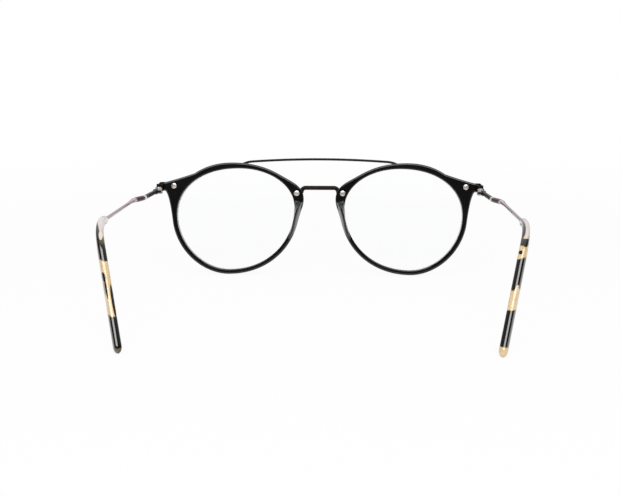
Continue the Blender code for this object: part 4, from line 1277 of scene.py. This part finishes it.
class EyeglassStage(bpy.types.PropertyGroup):
    """Camera and light of the studio."""
    lens_mm: bpy.props.FloatProperty(
        name="Lens", description="Focal length of the camera", subtype="DISTANCE_CAMERA",
        default=63.87, min=10, max=300)
    camera_place: bpy.props.FloatVectorProperty(
        name="Camera place", description="Where the camera stands", subtype="XYZ",
        unit="LENGTH", size=3, default=(-0.01196, 0.40032, 0.10147))
    camera_pitch: bpy.props.FloatProperty(
        name="Pitch", description="How far the camera looks down", subtype="ANGLE",
        default=math.radians(11.2))
    camera_yaw: bpy.props.FloatProperty(
        name="Yaw", description="How far the camera turns towards +X", subtype="ANGLE",
        default=math.radians(1.995))
    fill_light: bpy.props.FloatProperty(
        name="Fill", description="Light from all round", default=0.52, min=0, max=5)
    soft_box: bpy.props.FloatProperty(
        name="Soft box", description="Power of the soft box", subtype="POWER",
        default=3.4, min=0, max=100)


class PieceOperator(bpy.types.Operator):
    """Shared options of the operators that build pieces."""
    bl_options = {"REGISTER", "UNDO"}

    @property
    def finish(self):
        return bpy.context.scene.eyeglass_finish

    @property
    def sizes(self):
        return bpy.context.scene.eyeglass_sizes


class EYEWEAR_OT_rims(PieceOperator):
    """Build both acetate rims and their saddle nose pads"""
    bl_idname = "eyewear.rims"
    bl_label = "Rims and nose pads"

    def execute(self, context):
        acetate = black_acetate(self.finish)
        for side, word in SIDES:
            dress(rim_body(side, f"rim_{word}", self.sizes.rim_edge / MM), acetate,
                  "front", [f"{word}_rim"])
            dress(pad_body(side, f"saddle_pad_{word}", self.sizes.pad_edge / MM), acetate,
                  "front", [f"{word}_nose_pad"])
        return {"FINISHED"}


class EYEWEAR_OT_lenses(PieceOperator):
    """Build both clear lenses"""
    bl_idname = "eyewear.lenses"
    bl_label = "Lenses"

    def execute(self, context):
        clear = clear_lens(self.finish)
        for side, word in SIDES:
            dress(lens_body(side, f"lens_{word}"), clear, "front",
                  [f"{word}_lens"])
        return {"FINISHED"}


class EYEWEAR_OT_bridges(PieceOperator):
    """Build the nose bridge and the arched brow bar"""
    bl_idname = "eyewear.bridges"
    bl_label = "Double bridge"

    def execute(self, context):
        lacquer = black_metal(self.finish)
        dress(bridge_body("bridge_bar"), lacquer, "front", ["nose_bridge"])
        brow = brow_bar_body("brow_wire", lacquer, self.sizes.brow_radius / MM)
        dress(brow, lacquer, "front", ["brow_bar"])
        return {"FINISHED"}


class EYEWEAR_OT_hinges(PieceOperator):
    """Build the metal endpieces and the temples' hinge bars"""
    bl_idname = "eyewear.hinges"
    bl_label = "Endpieces and hinge bars"

    def execute(self, context):
        lacquer = bpy.data.materials["black_lacquered_metal"]
        for side, word in SIDES:
            dress(endpiece_body(side, f"endpiece_{word}"), lacquer, "front",
                  [f"{word}_endpiece"])
            dress(hinge_bar_body(side, f"hinge_bar_{word}"), lacquer, f"{word}_temple",
                  [f"{word}_hinge_bar"])
        return {"FINISHED"}


class EYEWEAR_OT_screws(PieceOperator):
    """Set out the rim screws and the hinge screws"""
    bl_idname = "eyewear.screws"
    bl_label = "Screws"

    def execute(self, context):
        steel = bright_steel(self.finish)
        seat = BACK - SCREW_RECESS + GAP
        spots = []
        for x, v in (BRIDGE_SCREW, ENDPIECE_SCREW):
            spot = front(x, seat, v)
            spots += [spot, Vector((-spot.x, spot.y, spot.z))]
        slot = self.sizes.slot_width / 2 / MM
        cross = ((SCREW_SLOT_HALF, slot), (slot, SCREW_SLOT_HALF))
        head = screw_head("rim_screw_head", SCREW_HEAD_R, SCREW_HEAD_H, SCREW_SHANK_R, cross,
                          SCREW_SLOT_DEPTH)
        facing = [(0, math.cos(LEAN), math.sin(LEAN))] * 4
        rim_screws = set_out("rim_screws", head, spots, facing, steel, self.sizes.screw_turn)
        dress(rim_screws, steel, "front",
              [f"{word}_{place}_screw" for _, word in SIDES for place in ("bridge", "endpiece")])

        top = HINGE_Z + LEAF_TOP + FIT
        pins = [Vector((side * HINGE_X, HINGE_Y, top)) for side, _ in SIDES]
        head = screw_head("hinge_screw_head", HINGE_HEAD_R, HINGE_HEAD_H, HINGE_SCREW_R,
                          ((1.0, 0.12),), 0.22)
        pin = prism(circle((0, 0), HINGE_SCREW_R - 0.003, 40), 0.05 - 2 * LEAF_TOP - FIT, 0.05,
                    plan)
        combine(head, pin)
        hinge_screws = set_out("hinge_screws", head, pins, [(0, 0, 1)] * 2, steel, 0.7)
        dress(hinge_screws, steel, "front",
              [f"{word}_hinge_screw" for _, word in SIDES])
        return {"FINISHED"}


class EYEWEAR_OT_arms(PieceOperator):
    """Build the polished temple arms with their collars"""
    bl_idname = "eyewear.arms"
    bl_label = "Temple arms"

    def execute(self, context):
        rose = rose_metal(self.finish)
        for side, word in SIDES:
            dress(arm_body(side, f"arm_{word}"), rose, f"{word}_temple",
                  [f"{word}_temple_arm"])
        return {"FINISHED"}


class EYEWEAR_OT_tips(PieceOperator):
    """Build the tortoise acetate tips"""
    bl_idname = "eyewear.tips"
    bl_label = "Temple tips"

    def execute(self, context):
        for side, word in SIDES:
            shell = tortoise_acetate(self.finish, word, side)
            dress(tip_body(side, f"tip_{word}"), shell, f"{word}_temple",
                  [f"{word}_temple_tip"])
        return {"FINISHED"}


# ---- Stage, in metres ---------------------------------------------------------------------
FLOOR_HALF = 2.0
FLOOR_WHITE = 0.93              # share of plain white under the piece, as seen directly
FLOOR_FADE = (0.12, 0.6)        # distances over which the floor turns fully white
MIRROR_UP = (0, -0.5, 0.866)    # direction in which the mirrored studio is brightest
MIRROR_RISE = (0.25, 0.85)
MIRROR_DARKEST = 0.03
LAMP_PLACE, LAMP_AIM = (0, 0.58, 0.55), (0, 0.04, 0.02)
LAMP_SIZE = (0.62, 0.34)


def area_lamp(name, place, aim, size, power):
    data = bpy.data.lights.new(name, "AREA")
    data.shape = "RECTANGLE"
    data.size, data.size_y = size
    data.energy = power
    lamp = bpy.data.objects.new(name, data)
    lamp.location = place
    direction = Vector(aim) - Vector(place)
    lamp.rotation_euler = direction.to_track_quat("-Z", "Y").to_euler()
    lamp.visible_camera = False
    bpy.context.scene.collection.objects.link(lamp)
    return lamp


def seen_white(tree, others):
    """1 for rays that meet the backdrop by eye, or of the other kinds that are named."""
    path = add_node(tree, "ShaderNodeLightPath")
    total = path.outputs["Is Camera Ray"]
    for name in others:
        total = add_node(tree, "ShaderNodeMath", {0: total, 1: path.outputs[name]},
                         operation="MAXIMUM").outputs[0]
    return total


class EYEWEAR_OT_stage(bpy.types.Operator):
    """Set up the pale floor, the soft studio light and the camera"""
    bl_idname = "eyewear.stage"
    bl_label = "Studio"
    bl_options = {"REGISTER", "UNDO"}

    def execute(self, context):
        scene = context.scene
        stage = scene.eyeglass_stage
        world = bpy.data.worlds.new("studio")
        scene.world = world
        world.use_nodes = True
        tree = world.node_tree
        fill = tree.nodes["Background"]
        fill.inputs["Strength"].default_value = stage.fill_light
        white = add_node(tree, "ShaderNodeBackground", {"Strength": 1.0})
        white.inputs["Color"].default_value = (1, 1, 1, 1)
        # Low behind the camera the studio is dark, which is what the rims' backs mirror.
        away = add_node(tree, "ShaderNodeTexCoord").outputs["Generated"]
        rise = add_node(tree, "ShaderNodeVectorMath", {0: away, 1: MIRROR_UP},
                        operation="DOT_PRODUCT")
        dark = add_node(tree, "ShaderNodeMapRange",
                        {"Value": rise.outputs["Value"], "From Min": MIRROR_RISE[0],
                         "From Max": MIRROR_RISE[1], "To Min": MIRROR_DARKEST, "To Max": 1.0},
                        interpolation_type="SMOOTHSTEP")
        path = add_node(tree, "ShaderNodeLightPath")
        mirrored = add_node(tree, "ShaderNodeBackground", {"Strength": dark.outputs[0]})
        mirrored.inputs["Color"].default_value = (1, 1, 1, 1)
        fill.inputs["Color"].default_value = (1, 1, 1, 1)
        lit = add_node(tree, "ShaderNodeMixShader", {0: path.outputs["Is Glossy Ray"],
                                                     1: fill.outputs[0],
                                                     2: mirrored.outputs[0]})
        seen = add_node(tree, "ShaderNodeMixShader",
                        {0: seen_white(tree, ["Is Transmission Ray"]), 1: lit.outputs[0],
                         2: white.outputs[0]})
        tree.links.new(seen.outputs[0], tree.nodes["World Output"].inputs["Surface"])

        corners = [(x * FLOOR_HALF, y * FLOOR_HALF, 0)
                   for x, y in ((-1, -1), (1, -1), (1, 1), (-1, 1))]
        floor = add_mesh("studio_floor", corners, [(0, 1, 2, 3)])
        material, tree = new_material("pale_floor")
        shader = tree.nodes["Principled BSDF"]
        grain = add_node(tree, "ShaderNodeTexNoise",
                         {"Vector": object_vector(tree), "Scale": 4.0})
        tone = add_node(tree, "ShaderNodeValToRGB", {"Fac": grain.outputs[0]})
        set_ramp(tone, ((0.3, 0.955), (0.7, 0.965)))
        tree.links.new(tone.outputs[0], shader.inputs["Base Color"])
        shader.inputs["Roughness"].default_value = 0.9
        shader.inputs["Specular IOR Level"].default_value = 0.0
        # Seen directly, the floor fades out into the white backdrop.
        away = add_node(tree, "ShaderNodeVectorMath",
                        {0: tree.nodes["Texture Coordinate"].outputs["Object"]},
                        operation="LENGTH")
        fade = add_node(tree, "ShaderNodeMapRange",
                        {"Value": away.outputs["Value"], "From Min": FLOOR_FADE[0],
                         "From Max": FLOOR_FADE[1], "To Min": FLOOR_WHITE, "To Max": 1.0},
                        interpolation_type="SMOOTHSTEP")
        eye = add_node(tree, "ShaderNodeMath",
                       {0: fade.outputs[0],
                        1: seen_white(tree, ["Is Transmission Ray"])}, operation="MULTIPLY")
        glow = add_node(tree, "ShaderNodeEmission", {"Strength": 1.0})
        glow.inputs["Color"].default_value = (1, 1, 1, 1)
        blend = add_node(tree, "ShaderNodeMixShader", {0: eye.outputs[0],
                                                       1: shader.outputs[0],
                                                       2: glow.outputs[0]})
        tree.links.new(blend.outputs[0], tree.nodes["Material Output"].inputs["Surface"])
        floor.data.materials.append(material)

        area_lamp("soft_box", LAMP_PLACE, LAMP_AIM, LAMP_SIZE, stage.soft_box)

        data = bpy.data.cameras.new("view")
        data.lens = stage.lens_mm
        data.clip_start, data.clip_end = 0.01, 20
        camera = bpy.data.objects.new("view", data)
        camera.location = stage.camera_place
        yaw, pitch = stage.camera_yaw, stage.camera_pitch
        look = Vector((math.sin(yaw) * math.cos(pitch), -math.cos(yaw) * math.cos(pitch),
                       -math.sin(pitch)))
        camera.rotation_euler = look.to_track_quat("-Z", "Y").to_euler()
        scene.collection.objects.link(camera)
        scene.camera = camera
        scene.view_settings.view_transform = "Standard"
        return {"FINISHED"}


PIECES = (EYEWEAR_OT_rims, EYEWEAR_OT_lenses, EYEWEAR_OT_bridges, EYEWEAR_OT_hinges,
          EYEWEAR_OT_screws, EYEWEAR_OT_arms, EYEWEAR_OT_tips, EYEWEAR_OT_stage)


class EYEWEAR_PT_panel(bpy.types.Panel):
    """Lists the pieces of the eyeglasses and their settings"""
    bl_label = "Eyeglasses"
    bl_space_type = "VIEW_3D"
    bl_region_type = "UI"
    bl_category = "Eyeglasses"

    def draw(self, context):
        layout = self.layout
        for operator in PIECES:
            layout.operator(operator.bl_idname)
        for group in (context.scene.eyeglass_sizes, context.scene.eyeglass_finish,
                      context.scene.eyeglass_stage):
            box = layout.box()
            for name in group.__annotations__:
                box.prop(group, name)


CLASSES = (EyeglassSizes, EyeglassFinish, EyeglassStage, *PIECES, EYEWEAR_PT_panel)


def register():
    for cls in CLASSES:
        bpy.utils.register_class(cls)
    bpy.types.Scene.eyeglass_sizes = bpy.props.PointerProperty(type=EyeglassSizes)
    bpy.types.Scene.eyeglass_finish = bpy.props.PointerProperty(type=EyeglassFinish)
    bpy.types.Scene.eyeglass_stage = bpy.props.PointerProperty(type=EyeglassStage)


def unregister():
    del bpy.types.Scene.eyeglass_stage
    del bpy.types.Scene.eyeglass_finish
    del bpy.types.Scene.eyeglass_sizes
    for cls in reversed(CLASSES):
        bpy.utils.unregister_class(cls)


def main():
    """Build every piece in order."""
    register()
    for operator in PIECES:
        group, name = operator.bl_idname.split(".")
        getattr(getattr(bpy.ops, group), name)()


if __name__ == "__main__":
    main()
